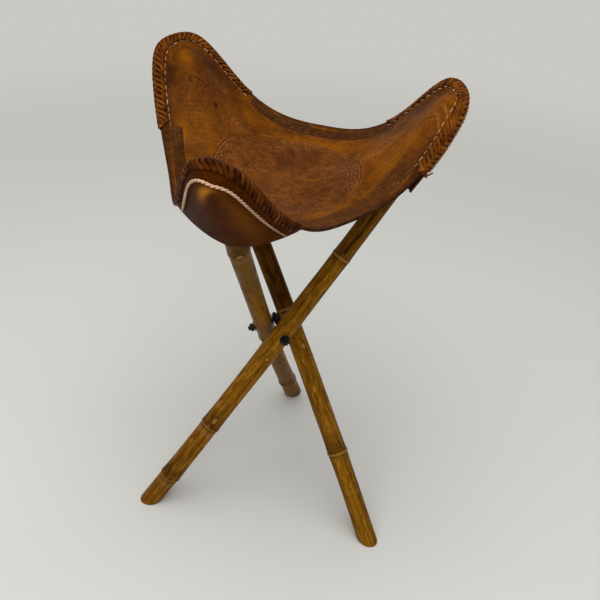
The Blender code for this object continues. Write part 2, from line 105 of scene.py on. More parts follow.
def legAxis(along):  # a straight chord plus a parabola that is deepest near the bolt
    along = np.asarray(along, float)[..., None]
    share = along / stool["legLength"]
    hubShare = stool["hubFromFoot"] / stool["legLength"]
    bow = (stool["hubOffset"] - stool["chordOffset"]) * share * (1 - share) / (hubShare * (1 - hubShare))
    foot = np.array((-stool["hubFromFoot"] * sinTilt, -stool["chordOffset"], 0.0))
    return foot + along * legDirection - bow * across


legTop = legAxis(stool["legLength"])
tipAzimuth = math.atan2(legTop[1], legTop[0])
topReach = math.hypot(legTop[0], legTop[1])
tipRadii, tipHeights, tipTurns, edgeInsets, edgeHeights, ridgeHeights = (
    np.array(stool[name])
    for name in ("tipRadii", "tipHeights", "tipTurns", "edgeInsets", "edgeHeights", "ridgeHeights")
)
middleHeight = stool["middleHeight"]


def smoothStep(low, high, value):  # 0 below low, 1 above high, and a cubic between
    share = np.clip((value - low) / (high - low), 0, 1)
    return share * share * (3 - 2 * share)


def cornerAngle(azimuth):  # the nearest corner, and the angle past its leg
    corner = np.round((azimuth - tipAzimuth) / third)
    return corner.astype(int) % 3, azimuth - tipAzimuth - corner * third


def tipTurn(azimuth):  # each corner's outline is turned a little sideways, less and less towards the edges
    corner, local = cornerAngle(azimuth)
    return tipTurns[corner] * np.cos(1.5 * local) ** 2


def rimRadius(azimuth):  # power sum of the three straight edges and the three blunt corners
    azimuth = np.asarray(azimuth, float)
    corner, local = cornerAngle(azimuth)
    turn = tipTurn(azimuth)
    power = stool["outlinePower"]
    total = np.zeros_like(azimuth)
    for edge, inset in enumerate(edgeInsets):
        total += np.maximum(0, np.cos(azimuth - turn - tipAzimuth - third / 2 - edge * third) / inset) ** power
    beside = (0.5 / edgeInsets[corner]) ** power + (0.5 / edgeInsets[corner - 1]) ** power
    total += np.maximum(tipRadii[corner] ** -power - beside, 0) * np.maximum(0, np.cos(local - turn)) ** power
    return total ** (-1 / power)


def rimHeight(azimuth):  # from each edge's level up to each tip, by a power of the way out
    corner, local = cornerAngle(np.asarray(azimuth, float))
    beside = smoothStep(-math.pi / 6, math.pi / 6, local)
    inset = edgeInsets[corner - 1] + (edgeInsets[corner] - edgeInsets[corner - 1]) * beside
    height = edgeHeights[corner - 1] + (edgeHeights[corner] - edgeHeights[corner - 1]) * beside
    rise = np.maximum(rimRadius(azimuth) - inset, 0) / (tipRadii[corner] - inset)
    return height + (tipHeights[corner] - height) * rise ** stool["rimPower"]


def seatHeight(x, y):  # a bowl from the middle up to the rim, with a soft ridge over each leg's end
    azimuth = np.arctan2(y, x)
    radius = np.hypot(x, y)
    rim = rimRadius(azimuth)
    corner, local = cornerAngle(azimuth)
    power = stool["bowlPowers"][0] + (stool["bowlPowers"][1] - stool["bowlPowers"][0]) * np.cos(1.5 * local) ** 2
    bowl = middleHeight + (rimHeight(azimuth) - middleHeight) * (radius / rim) ** power
    peak = np.minimum(topReach - stool["ridgeInset"], 0.96 * rim)
    window = smoothStep(peak - stool["ridgeRun"], peak, radius) * (1 - smoothStep(peak, rim, radius))
    ridge = ridgeHeights[corner] * np.exp(-((radius * np.sin(local) / stool["ridgeWidth"]) ** 2))
    return bowl + ridge * window


def seatPoint(azimuth, share):  # on the bowl, at a share of the way from the axis to the rim
    radius = share * rimRadius(azimuth)
    x, y = radius * np.cos(azimuth), radius * np.sin(azimuth)
    return np.stack((x, y, seatHeight(x, y)), axis=-1)


def unit(vectors):
    return vectors / np.maximum(np.linalg.norm(vectors, axis=-1, keepdims=True), 1e-12)


def seatNormal(points):  # upright less the slopes of the height, taken over a small step
    step = 1e-4
    x, y = points[..., 0], points[..., 1]
    slopeX = (seatHeight(x + step, y) - seatHeight(x - step, y)) / (2 * step)
    slopeY = (seatHeight(x, y + step) - seatHeight(x, y - step)) / (2 * step)
    return unit(np.stack((-slopeX, -slopeY, np.ones_like(x)), axis=-1))


def rimFrame(azimuth):  # rim points, the seat's normal made square to the rim, and their cross product inward
    step = 1e-3
    points = seatPoint(azimuth, 1.0)
    tangent = unit(seatPoint(azimuth + step, 1.0) - seatPoint(azimuth - step, 1.0))
    normal = seatNormal(seatPoint(azimuth, 0.999))
    normal = unit(normal - (normal * tangent).sum(-1, keepdims=True) * tangent)
    return points, normal, np.cross(normal, tangent)


stack = stool["panelThickness"] / 2 + stool["leatherGap"] + stool["pocketThickness"] / 2


def pocketPoint(corner, angle, share):  # from a line down the leg's outer side (share 0) to the rim (share 1)
    angle, share = np.broadcast_arrays(np.asarray(angle, float), np.asarray(share, float))
    rim, normal = rimFrame(tipAzimuth + corner * third + angle)[:2]
    rim = rim - stack * normal
    aside = np.abs(angle) / stool["lacingReach"]
    top = stool["legLength"] - stool["pocketShoulder"]
    depth = stool["pocketDepth"] - stool["pocketTrim"] - stool["pocketShoulder"]
    along = top - depth * aside ** stool["pocketFan"]
    clear = legRadius(along) + stool["leatherGap"] + stool["pocketThickness"] / 2
    line = turned(legAxis(along) + clear[..., None] * outward, corner)
    out = turned(outward, corner)
    rimOut = ((rim - line) @ out)[..., None] * out
    fullness = stool["pocketRound"] + stool["tipRound"] * np.clip(1 - aside, 0, 1) ** 2
    return line + share[..., None] * (rim - line - rimOut) + (share**fullness)[..., None] * rimOut


def pocketNormal(corner, angle, share):  # square to small steps along and towards the rim, away from the leg
    step = 1e-3
    alongRim = pocketPoint(corner, angle + step, share) - pocketPoint(corner, angle - step, share)
    toRim = pocketPoint(corner, angle, share) - pocketPoint(corner, angle, share - step)
    normal = unit(np.cross(toRim, alongRim))
    facing = np.sign(normal @ turned(outward + legDirection, corner))
    return normal * facing[..., None]


# Meshes
def gridFaces(rows, columns, wrap=False):
    index = np.arange(rows * columns).reshape(rows, columns)
    if wrap:
        index = np.concatenate((index, index[:, :1]), axis=1)
    return np.stack((index[:-1, :-1], index[:-1, 1:], index[1:, 1:], index[1:, :-1]), axis=-1).reshape(-1, 4)


def endFans(rows, columns):  # triangles from a grid's first and last ring to the two poles that follow its points
    fan = np.arange(columns)
    after = (fan + 1) % columns
    last, pole = (rows - 1) * columns, rows * columns
    return np.concatenate((np.stack((after, fan, np.full(columns, pole)), -1),
                           np.stack((last + fan, last + after, np.full(columns, pole + 1)), -1)))


def makeMesh(name, points, faceSets):
    mesh = bpy.data.meshes.new(name)
    points = np.ascontiguousarray(points, np.float32).reshape(-1, 3)
    mesh.vertices.add(len(points))
    mesh.vertices.foreach_set("co", points.ravel())
    sizes = np.concatenate([np.full(len(faces), faces.shape[1]) for faces in faceSets])
    corner = np.concatenate([faces.ravel() for faces in faceSets]).astype(np.int32)
    mesh.loops.add(len(corner))
    mesh.loops.foreach_set("vertex_index", corner)
    mesh.polygons.add(len(sizes))
    mesh.polygons.foreach_set("loop_start", (np.cumsum(sizes) - sizes).astype(np.int32))
    mesh.polygons.foreach_set("loop_total", sizes.astype(np.int32))
    mesh.polygons.foreach_set("use_smooth", np.ones(len(sizes), bool))
    mesh.update(calc_edges=True)
    mesh.validate()
    return mesh


def mark(mesh, name, values):  # a value or a vector at each point, for the materials
    values = np.asarray(values, np.float32)
    kind = "FLOAT" if values.ndim == 1 else "FLOAT_VECTOR"
    layer = mesh.attributes.new(name, kind, "POINT")
    layer.data.foreach_set("value" if kind == "FLOAT" else "vector", values.ravel())


def faceOut(mesh, merge=True):  # drops loose points, joins doubles and turns the faces outward
    shape = bmesh.new()
    shape.from_mesh(mesh)
    bmesh.ops.delete(shape, geom=[vert for vert in shape.verts if not vert.link_faces], context="VERTS")
    if merge:
        bmesh.ops.remove_doubles(shape, verts=shape.verts, dist=1e-7)
    bmesh.ops.recalc_face_normals(shape, faces=shape.faces)
    shape.to_mesh(mesh)
    shape.free()


def addPiece(name, mesh, material, body, slot, *nodes):
    piece = bpy.data.objects.new(name, mesh)
    bpy.context.scene.collection.objects.link(piece)
    mesh.materials.clear()
    mesh.materials.append(material)
    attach(piece, body)
    if nodes:
        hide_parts(*nodes)
    return piece


# Materials: each helper adds its nodes to the tree in hand
def tone(red, green, blue):  # a colour as a screen shows it, made linear
    share = np.array((red, green, blue)) / 255
    linear = np.where(share > 0.04045, ((share + 0.055) / 1.055) ** 2.4, share / 12.92)
    return (*[float(value) for value in linear], 1.0)


def put(kind, sockets=None, **settings):
    made = tree.nodes.new(kind)
    for key, value in settings.items():
        setattr(made, key, value)
    for key, value in (sockets or {}).items():
        if isinstance(value, bpy.types.NodeSocket):
            tree.links.new(value, made.inputs[key])
        else:
            made.inputs[key].default_value = value
    return made


def mixColour(factor, first, second):
    return put("ShaderNodeMix", {0: factor, 6: first, 7: second}, data_type="RGBA").outputs[2]


def sums(operation, first, second):
    return put("ShaderNodeMath", {0: first, 1: second}, operation=operation).outputs[0]


def times(first, second):
    return sums("MULTIPLY", first, second)


def spread(value, low, high, toLow=0.0, toHigh=1.0):
    sockets = {"Value": value, "From Min": low, "From Max": high, "To Min": toLow, "To Max": toHigh}
    return put("ShaderNodeMapRange", sockets, interpolation_type="SMOOTHSTEP").outputs[0]


def noise(vector, scale, detail, rough=0.55, distort=0.0):
    sockets = {"Vector": vector, "Scale": scale, "Detail": detail, "Roughness": rough, "Distortion": distort}
    return put("ShaderNodeTexNoise", sockets).outputs["Fac"]


def grain(vector, scales, detail, rough, distort=0.0, move=(0, 0, 0)):  # noise with its own scale on each axis
    drawn = put("ShaderNodeMapping", {"Vector": vector, "Location": move, "Scale": scales}).outputs[0]
    return noise(drawn, 1.0, detail, rough, distort)


def cells(vector, scale):
    return put("ShaderNodeTexVoronoi", {"Vector": vector, "Scale": scale}, feature="F1").outputs["Distance"]


def attribute(name, output="Fac"):
    return put("ShaderNodeAttribute", attribute_name=name).outputs[output]


def objectPlace():
    return put("ShaderNodeTexCoord").outputs["Object"]


def paint(colour, *layers):  # dyes laid over a colour one by one, each as a mask and a tone
    for mask, dye in layers:
        colour = mixColour(mask, colour, tone(*dye) if isinstance(dye, tuple) else dye)
    return colour


def newMaterial(name, plain):
    global tree
    material = bpy.data.materials.new(name)
    material.use_nodes = True
    tree = material.node_tree
    shader = tree.nodes["Principled BSDF"]
    for key, value in plain.items():
        shader.inputs[key].default_value = value
    return material, shader


def connect(shader, colour, roughness, height, distance, strength):
    relief = put("ShaderNodeBump", {"Height": height, "Distance": distance, "Strength": strength}).outputs[0]
    for key, value in (("Base Color", colour), ("Roughness", roughness), ("Normal", relief)):
        tree.links.new(value, shader.inputs[key])


# Hide: pores between small cells, fine wrinkles, and a cloudy dye
hide = tree = bpy.data.node_groups.new("hide", "ShaderNodeTree")
for key, kind in (("Vector", "Vector"), ("Pore Scale", "Float"), ("Cloud Scale", "Float")):
    hide.interface.new_socket(key, in_out="INPUT", socket_type="NodeSocket" + kind)
for key in ("Height", "Cloud", "Speck"):
    hide.interface.new_socket(key, in_out="OUTPUT", socket_type="NodeSocketFloat")
place, poreScale, cloudScale = put("NodeGroupInput").outputs[:3]
wrinkle = noise(place, 160.0, 5.0, 0.6, 1.4)
put("NodeGroupOutput", {
    "Height": sums("ADD", times(cells(place, poreScale), 0.45), times(wrinkle, 0.75)),
    "Cloud": spread(noise(place, cloudScale, 6.0, 0.62, 0.8), 0.32, 0.68),
    "Speck": spread(noise(place, 240.0, 3.0, 0.7), 0.60, 0.74),
})


def hideAt(place, poreScale, cloudScale):
    sockets = {"Vector": place, "Pore Scale": poreScale, "Cloud Scale": cloudScale}
    return put("ShaderNodeGroup", sockets, node_tree=hide).outputs


tooledLeather, shader = newMaterial("tooledLeather", {"IOR": 1.10, "Specular Tint": (1.0, 0.50, 0.16, 1)})
place = objectPlace()
skin = hideAt(place, 850.0, 17.0)
streaks = grain(place, (30, 140, 60), 5.0, 0.6, 0.6)
scratch = grain(place, (16, 460, 120), 3.0, 0.7, 0.3)
mottle = noise(place, 105.0, 6.0, 0.68, 0.7)
blots = grain(place, (40, 40, 40), 5.0, 0.7, 1.1, (3.1, 0.7, 0))
groove, flesh = attribute("groove"), attribute("flesh")
colour = paint(
    mixColour(skin["Cloud"], tone(86, 43, 3), tone(116, 64, 7)),
    (spread(blots, 0.46, 0.66, 0.0, 0.6), (68, 32, 8)),
    (spread(mottle, 0.50, 0.65, 0.0, 0.52), (58, 27, 6)),
    (spread(mottle, 0.46, 0.32, 0.0, 0.42), (140, 84, 12)),
    (spread(streaks, 0.52, 0.72, 0.0, 0.5), (64, 31, 8)),
    (times(attribute("warm"), spread(streaks, 0.3, 0.65, 0.45, 1.0)), (136, 78, 4)),
    (times(attribute("red"), spread(streaks, 0.25, 0.7, 0.55, 1.0)),
     mixColour(spread(mottle, 0.36, 0.62), tone(112, 64, 33), tone(84, 46, 22))),
    (times(attribute("dark"), spread(mottle, 0.35, 0.6, 0.72, 1.0)), (48, 26, 14)),
    (times(groove, 0.66), (48, 22, 9)),
    # pale on rubbed crests beside the grooves, and a painted highlight along the creases
    (times(attribute("crestWearAndCreaseHighlight"), spread(streaks, 0.4, 0.6, 0.15, 0.6)), (172, 116, 58)),
    (spread(scratch, 0.62, 0.72, 0.0, 0.3), (150, 98, 48)),
    (times(skin["Speck"], 0.45), (62, 29, 11)),
    (attribute("stain"), (44, 20, 9)),
    (flesh, mixColour(skin["Cloud"], tone(112, 76, 46), tone(138, 98, 62))),
)
rough = spread(sums("ADD", streaks, times(groove, 0.2)), 0.3, 0.8, 0.34, 0.58)
stipple = times(cells(place, 620.0), attribute("matte"))
height = sums("ADD", times(skin["Height"], 0.35), times(stipple, 0.9))
connect(shader, colour, sums("MAXIMUM", rough, times(flesh, 0.9)), height, 0.0011, 0.8)

pocketLeather, shader = newMaterial("pocketLeather", {"IOR": 1.06, "Specular Tint": (1.0, 0.45, 0.12, 1)})
place = objectPlace()
skin = hideAt(place, 1000.0, 26.0)
pulls = grain(place, (70, 70, 190), 5.0, 0.62, 1.2)
colour = paint(
    mixColour(skin["Cloud"], tone(60, 26, 3), tone(82, 38, 5)),
    # painted highlight high on the pocket
    (times(attribute("pocketHighlight"), 0.95), (196, 124, 38)),
    (times(attribute("low"), 0.7), (54, 25, 6)),
    (spread(pulls, 0.55, 0.75, 0.0, 0.45), (52, 23, 7)),
    (times(skin["Speck"], 0.3), (124, 74, 28)),
)
height = sums("ADD", times(skin["Height"], 0.25), times(pulls, 0.8))
connect(shader, colour, spread(pulls, 0.3, 0.8, 0.26, 0.46), height, 0.0009, 0.75)

laceLeather, shader = newMaterial("laceLeather", {"IOR": 1.12, "Specular Tint": (1.0, 0.55, 0.22, 1)})
skin = hideAt(objectPlace(), 1300.0, 60.0)
colour = paint(
    mixColour(attribute("shade"), tone(54, 22, 5), tone(138, 80, 20)),
    (times(skin["Cloud"], 0.5), (90, 40, 12)),
    # painted shade in the plait's crossings, on strand edges, on the core and in the holes
    (attribute("shadeAndDirt"), (22, 8, 3)),
)
connect(shader, colour, spread(skin["Cloud"], 0.0, 1.0, 0.36, 0.52), skin["Height"], 0.0005, 0.6)

seamCord, shader = newMaterial("seamCord", {"Specular IOR Level": 0.2, "Sheen Weight": 0.15})
lay = grain(attribute("twist", "Vector"), (1600, 1600, 260), 3.0, 0.6)
dirt = noise(objectPlace(), 70.0, 4.0)
colour = paint(
    mixColour(spread(lay, 0.3, 0.7), tone(196, 152, 112), tone(240, 206, 170)),
    (spread(dirt, 0.52, 0.74, 0.0, 0.6), (136, 88, 48)),
    # painted shade where the plies press together; darker stitches and a darker cord end
    (attribute("shadeAndDirt"), (96, 56, 28)),
)
connect(shader, colour, spread(lay, 0.0, 1.0, 0.65, 0.85), lay, 0.0004, 0.8)

bamboo, shader = newMaterial("bamboo", {"IOR": 1.12, "Specular Tint": (1.0, 0.66, 0.28, 1)})
place = attribute("culm", "Vector")
fibres = grain(place, (520, 520, 9), 4.0, 0.6)
bands = grain(place, (120, 120, 3.2), 4.0, 0.55, 0.4)
blotch = grain(place, (60, 60, 26), 5.0, 0.65, 0.9)
specks = grain(place, (420, 420, 130), 4.0, 0.7)
flecks = grain(place, (260, 260, 46), 5.0, 0.72, 0.6, (0.4, 0.9, 0))
colour = paint(
    mixColour(spread(bands, 0.32, 0.68), tone(104, 64, 7), tone(156, 106, 22)),
    (spread(fibres, 0.35, 0.7, 0.0, 0.5), (96, 58, 11)),
    (spread(flecks, 0.53, 0.66, 0.0, 0.6), (184, 134, 48)),
    (times(attribute("worn"), spread(bands, 0.25, 0.6, 0.6, 1.0)), (102, 68, 18)),
    (spread(blotch, 0.50, 0.70, 0.0, 0.65), (80, 46, 7)),
    (spread(flecks, 0.47, 0.35, 0.0, 0.7), (66, 36, 6)),
    (times(attribute("stain"), spread(blotch, 0.36, 0.58, 0.1, 0.85)), (62, 35, 9)),
    (spread(specks, 0.58, 0.70, 0.0, 0.6), (52, 28, 6)),
    # painted shade: the seat's shadow on the legs' upper parts, and the channel's hollow
    (times(attribute("legShade"), spread(flecks, 0.62, 0.40, 0.75, 1.0)), (44, 17, 2)),
    (times(attribute("bloom"), spread(fibres, 0.3, 0.6, 0.5, 1.0)), (172, 130, 70)),
    (times(attribute("ring"), spread(blotch, 0.3, 0.6, 0.55, 0.95)), (48, 26, 8)),
    (attribute("cut"), mixColour(spread(fibres, 0.35, 0.65), tone(120, 84, 42), tone(156, 116, 66))),
)
height = sums("ADD", times(fibres, 0.5), times(specks, -0.4))
connect(shader, colour, spread(blotch, 0.3, 0.8, 0.30, 0.55), height, 0.0006, 0.8)

blackSteel, shader = newMaterial("blackSteel", {"Metallic": 0.75})
rub = noise(objectPlace(), 260.0, 5.0, 0.65)
colour = mixColour(spread(rub, 0.58, 0.72), tone(34, 32, 31), tone(86, 78, 70))
connect(shader, colour, spread(rub, 0.3, 0.7, 0.42, 0.62), rub, 0.0002, 0.5)
print("materials:", len(bpy.data.materials))

# Legs: a culm along the bowed axis, swollen at its nodes and sawn level at the foot
culm = {
    "around": 120,
    "step": 0.0026,
    # each node: place along the leg, height, kind, how far its ring tilts and towards which side
    "nodes": (
        ((0.058, 0.0013, "lip", 0.0016, 0.4), (0.168, 0.0012, "lip", 0.0022, -2.4),
         (0.316, 0.0003, "scar", 0.0010, 1.0), (0.485, 0.0008, "ring", 0.0012, -1.8)),
        ((0.142, 0.0012, "ring", 0.0013, 2.2), (0.292, 0.0003, "scar", 0.0012, 2.0),
         (0.364, 0.0004, "ring", 0.0012, 2.5), (0.462, 0.0006, "scar", 0.0010, -1.2)),
        ((0.075, 0.0012, "ring", 0.0014, 1.2), (0.300, 0.0013, "lip", 0.0012, 2.9),
         (0.566, 0.0010, "lip", 0.0016, 0.6)),
    ),
    # each branch scar: place along the leg, angle round it, half its length and half its width
    "scars": (
        ((0.186, -2.05, 0.0075, 0.0034), (0.312, -1.75, 0.0040, 0.0030), (0.500, 1.2, 0.0070, 0.0030)),
        ((0.158, -0.7, 0.0070, 0.0032), (0.308, 2.9, 0.0060, 0.0030)),
        ((0.090, -2.2, 0.0070, 0.0030), (0.572, 0.45, 0.0035, 0.0050)),
    ),
    "crack": (1, 0.078, 2.33, 2.78),  # which leg, how far up, and the angle round it at the top and at the foot
    "crackDepth": 0.0007,
    "channel": (0, 0.489, 0.640, -2.05, 0.0030),  # which leg, from, to, angle round it and half width
    "channelDepth": 0.0013,
    "weathered": ((), (), ((0.12, 0.12), (0.56, 0.13))),  # middle and half length
    # painted shade where the seat shades each leg's upper part: from, full from, and how much
    "legShade": ((0.47, 0.56, 0.45), (0.355, 0.385, 0.84), (0.42, 0.52, 0.55)),
    "litSide": (2, 0.3),  # which leg has the painted shade on one side only, and the angle of its lit side
    "footRound": 0.002,
    "footBlend": 0.030,
    "hollow": 0.30,  # share of the sawn end's radius
    "hollowDepth": 0.012,
    "topChamfer": 0.004,
    "grainShift": 3.1,  # gives each leg its own stretch of the grain
}


def ripple(along, around, seed):  # a few slow waves that make a culm less than round
    return (0.00026 * np.sin(2 * around + 9 * along + seed) + 0.00022 * np.sin(23 * along + 1.7 * seed)
            + 0.00014 * np.sin(3 * around - 31 * along + 2.3 * seed))


def bump(distance, width, power=2):  # 1 at distance 0, falling off as a bell
    return np.exp(-((distance / width) ** power))


def fromNode(along, around, node):  # distance above a node's tilted ring
    return along - node[0] - node[3] * np.cos(around - node[4])


def roundFrom(along, around, angle):  # distance round the culm from an angle
    return (np.mod(around - angle + math.pi, 2 * math.pi) - math.pi) * legRadius(along)


def nodeSwell(along, around, nodes):  # a lip steps out at once and dies away upwards; a ring is a low flat-topped band
    total = np.zeros_like(along)
    for node in nodes:
        d = fromNode(along, around, node)
        if node[2] == "lip":
            total += node[1] * np.where(d < 0, bump(d, 0.0014), np.exp(-np.maximum(d, 0) / 0.013))
        else:
            total += node[1] * (0.7 * bump(d, 0.0022, 4) + 0.5 * bump(d, 0.014))
    return total


def crackLine(along, around, corner):  # 1 on a crack that wanders up from the foot
    leg, top, high, low = culm["crack"]
    middle = low + (high - low) * along / top + 0.03 * np.sin(140 * along)
    fade = 1 - smoothStep(0.7 * top, top, along)
    return (corner == leg) * bump(roundFrom(along, around, middle), 0.00055) * fade


def channelLine(along, around, corner):  # 1 in the long hollow that a branch leaves above its node
    leg, low, high, middle, half = culm["channel"]
    hollow = (corner == leg) * bump(roundFrom(along, around, middle), half, 4)
    return hollow * smoothStep(low, low + 0.006, along) * (1 - smoothStep(high - 0.08, high, along))


def culmMarks(along, around, corner):  # dark rings, pale crests, stains, weathering and painted shade, from place along and round
    ring, bloom, stain, worn = (np.zeros_like(along) for layer in range(4))
    for node in culm["nodes"][corner]:
        d = fromNode(along, around, node)
        if node[2] == "lip":
            ring += 0.9 * bump(d + 0.0023, 0.0010) + 0.25 * bump(d - 0.0045, 0.004)
            bloom += 0.55 * bump(d - 0.0004, 0.0012) + 0.25 * bump(d + 0.009, 0.005)
            stain += 0.85 * bump(d - 0.014, 0.015)
        elif node[2] == "scar":
            ring += 0.45 * bump(d, 0.0008) * (0.5 + 0.5 * np.cos(3 * around + node[4]))
        else:
            ring += 0.8 * bump(np.abs(d) - 0.0032, 0.0009)
            bloom += 0.6 * bump(d, 0.0019)
            stain += 0.5 * bump(d - 0.010, 0.018)
    for place, angle, long, wide in culm["scars"][corner]:
        out = np.sqrt(((along - place) / long) ** 2 + (roundFrom(along, around, angle) / wide) ** 2)
        bloom += 0.8 * (1 - smoothStep(0.5, 0.95, out))
        ring += 0.65 * bump(out - 1.1, 0.22)
    for middle, half in culm["weathered"][corner]:
        worn += (0.55 + 0.35 * np.cos(around - 0.1)) * bump(along - middle, half, 4)
    ring += crackLine(along, around, corner)
    start, full, most = culm["legShade"][corner]
    legShade = most * smoothStep(start, full, along)
    if corner == culm["litSide"][0]:
        legShade *= 0.5 - 0.5 * np.cos(around - culm["litSide"][1])
    # painted shade in the channel's hollow as well
    legShade = np.maximum(legShade, 0.9 * channelLine(along, around, corner))
    layers = {"ring": ring, "bloom": bloom, "stain": stain, "worn": worn, "legShade": legShade}
    return {name: np.clip(values, 0, 1) for name, values in layers.items()}


def makeLeg(corner):  # rings round the axis: taper, swellings and ripple, less crack, channel and rounded foot
    nodes, length = culm["nodes"][corner], stool["legLength"]
    around = np.arange(culm["around"]) * 2 * math.pi / culm["around"]
    tangent = unit(legAxis(1e-3) - legAxis(-1e-3))
    firstSide = unit(outward - (outward @ tangent) * tangent)
    secondSide = np.cross(tangent, firstSide)
    spoke = np.cos(around)[:, None] * firstSide + np.sin(around)[:, None] * secondSide
    sawn = -legRadius(0.0) * spoke[:, 2] / cosTilt
    low = np.linspace(0, 1, 26)[:-1, None] ** 1.6
    high = [np.arange(culm["footBlend"], length - culm["topChamfer"], culm["step"])]
    high += [node[0] + np.linspace(-0.010, 0.010, 34) for node in nodes]
    high = np.unique(np.round(np.concatenate(high), 5))[:, None]
    low = sawn + (culm["footBlend"] - sawn) * low
    along = np.concatenate((low, np.broadcast_to(high, (len(high), len(around)))))
    turnAt = np.broadcast_to(around, along.shape)
    radius = legRadius(along) + nodeSwell(along, turnAt, nodes) + ripple(along, turnAt, 2.1 * corner)
    radius = radius - culm["crackDepth"] * crackLine(along, turnAt, corner)
    radius = radius - culm["channelDepth"] * channelLine(along, turnAt, corner)
    level = np.clip((along - sawn) * cosTilt / culm["footRound"], 0, 1)
    radius = radius - culm["footRound"] * (1 - np.sqrt(np.clip(1 - (1 - level) ** 2, 0, 1)))
    side = legAxis(along) + radius[..., None] * spoke
    side[..., 2] = np.maximum(side[..., 2], 0)
    side[0, :, 2] = 0.0
    # the sawn face runs in from the rim to the hollow, and the hollow goes up the culm
    centre, end = legAxis(0.0), legAxis(length)
    shares = (0.92, 0.75, 0.55, culm["hollow"] + 0.03, culm["hollow"])
    face = [centre + share * (side[0] - centre) for share in shares]
    wall = [face[-1] + depth * legDirection for depth in (0.002, culm["hollowDepth"])]
    cap = [end + share * (legRadius(length) - culm["topChamfer"]) * spoke for share in (1.0, 0.4)]
    grid = np.concatenate((wall[::-1], face[::-1], side, cap))
    count, columns = grid.shape[:2]
    points = np.concatenate((grid.reshape(-1, 3), [centre + culm["hollowDepth"] * legDirection, end]))
    mesh = makeMesh("leg_" + corners[corner], turned(points, corner) + shift,
                    [gridFaces(count, columns, True), endFans(count, columns)])
    inner = len(wall) + len(face)
    full, isCut = np.zeros((count, columns)), np.zeros((count, columns))
    full[inner:inner + len(side)] = along
    full[inner + len(side):] = length
    isCut[:inner] = 1
    start = culm["grainShift"] * corner
    space = np.stack((np.cos(around) * legRadius(full), np.sin(around) * legRadius(full), full + start), -1)
    mark(mesh, "culm", np.concatenate((space.reshape(-1, 3), [[0, 0, start], [0, 0, length + start]])))
    marks = culmMarks(full, np.broadcast_to(around, full.shape), corner)
    layers = {name: values * (1 - isCut) for name, values in marks.items()} | {"cut": isCut * 0.85}
    for name, values in layers.items():
        mark(mesh, name, np.concatenate((values.reshape(-1), [values[0].mean(), values[-1].mean()])))
    faceOut(mesh)
    return mesh


for corner, side in enumerate(corners):
    addPiece("culm_" + side, makeLeg(corner), bamboo, side, "bamboo", "leg_" + side)
print("legs done")

# Folding: leather of a corner rides on its leg, and what lies beside the leg is cut into wedges, each with the
# direction and anchor of its closing
fold = {
    "reach": 0.0165,  # half width of the part that keeps its shape
    "keep": 0.05,  # share of a wedge's width that is left when folded
    "base": 0.65,  # place along the leg from which the wedges open
    "panelTurns": (105, 139, 166),  # directions of the wedges on each side, in degrees from straight out
    "cornerTurns": (105,),
}


def foldParts(corner, turns):  # name, the planes that bound it, and the direction and anchor of its closing
    base = turned(legAxis(fold["base"]), corner) + shift
    out, aside = turned(outward, corner), turned(across, corner)
    turns = [math.radians(turn) for turn in turns]

    def toward(angle):
        return math.cos(angle) * out + math.sin(angle) * aside

    def face(angle):
        return base + fold["reach"] * toward(angle), toward(angle)

    faces = [face(sign * turn) for turn in turns for sign in (1, -1)]
    parts = [("Core", [(point, -normal) for point, normal in faces], None)]
    for side, sign in (("Left", 1), ("Right", -1)):
        for index, turn in enumerate(turns):
            point, normal = face(sign * turn)
            planes = [(point, normal)]
            if index:
                planes.append((base, sign * toward(sign * (turns[index - 1] + turn) / 2 + math.pi / 2)))
            if turn == turns[-1]:
                planes.append((base, sign * aside))
            else:
                planes.append((base, -sign * toward(sign * (turns[index + 1] + turn) / 2 + math.pi / 2)))
            parts.append((side + str(index + 1), planes, (normal, point)))
    return parts


def keepSide(shape, point, normal):  # cuts a closed shape by a plane and closes it again
    geometry = shape.verts[:] + shape.edges[:] + shape.faces[:]
    cut = bmesh.ops.bisect_plane(shape, geom=geometry, plane_co=point, plane_no=normal, clear_inner=True, dist=1e-7)
    edges = [item for item in cut["geom_cut"] if isinstance(item, bmesh.types.BMEdge)]
    for edge in edges:
        edge.smooth = False
    if edges:
        made = bmesh.ops.holes_fill(shape, edges=edges, sides=0)
        bmesh.ops.triangulate(shape, faces=made["faces"])


def addFolding(name, mesh, corner, material, slot, *nodes, cuts=(), turns=fold["cornerTurns"]):
    whole = bmesh.new()
    whole.from_mesh(mesh)
    for point, normal in cuts:
        keepSide(whole, point, normal)
    for part, planes, closing in foldParts(corner, turns):
        shape = whole.copy()
        for point, normal in planes:
            keepSide(shape, point, normal)
        if shape.faces:
            partMesh = bpy.data.meshes.new(name + part)
            shape.to_mesh(partMesh)
            piece = addPiece(name + part, partMesh, material, corners[corner], slot, *nodes)
            if closing:
                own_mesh(piece)
        shape.free()
    whole.free()
    bpy.data.meshes.remove(mesh)


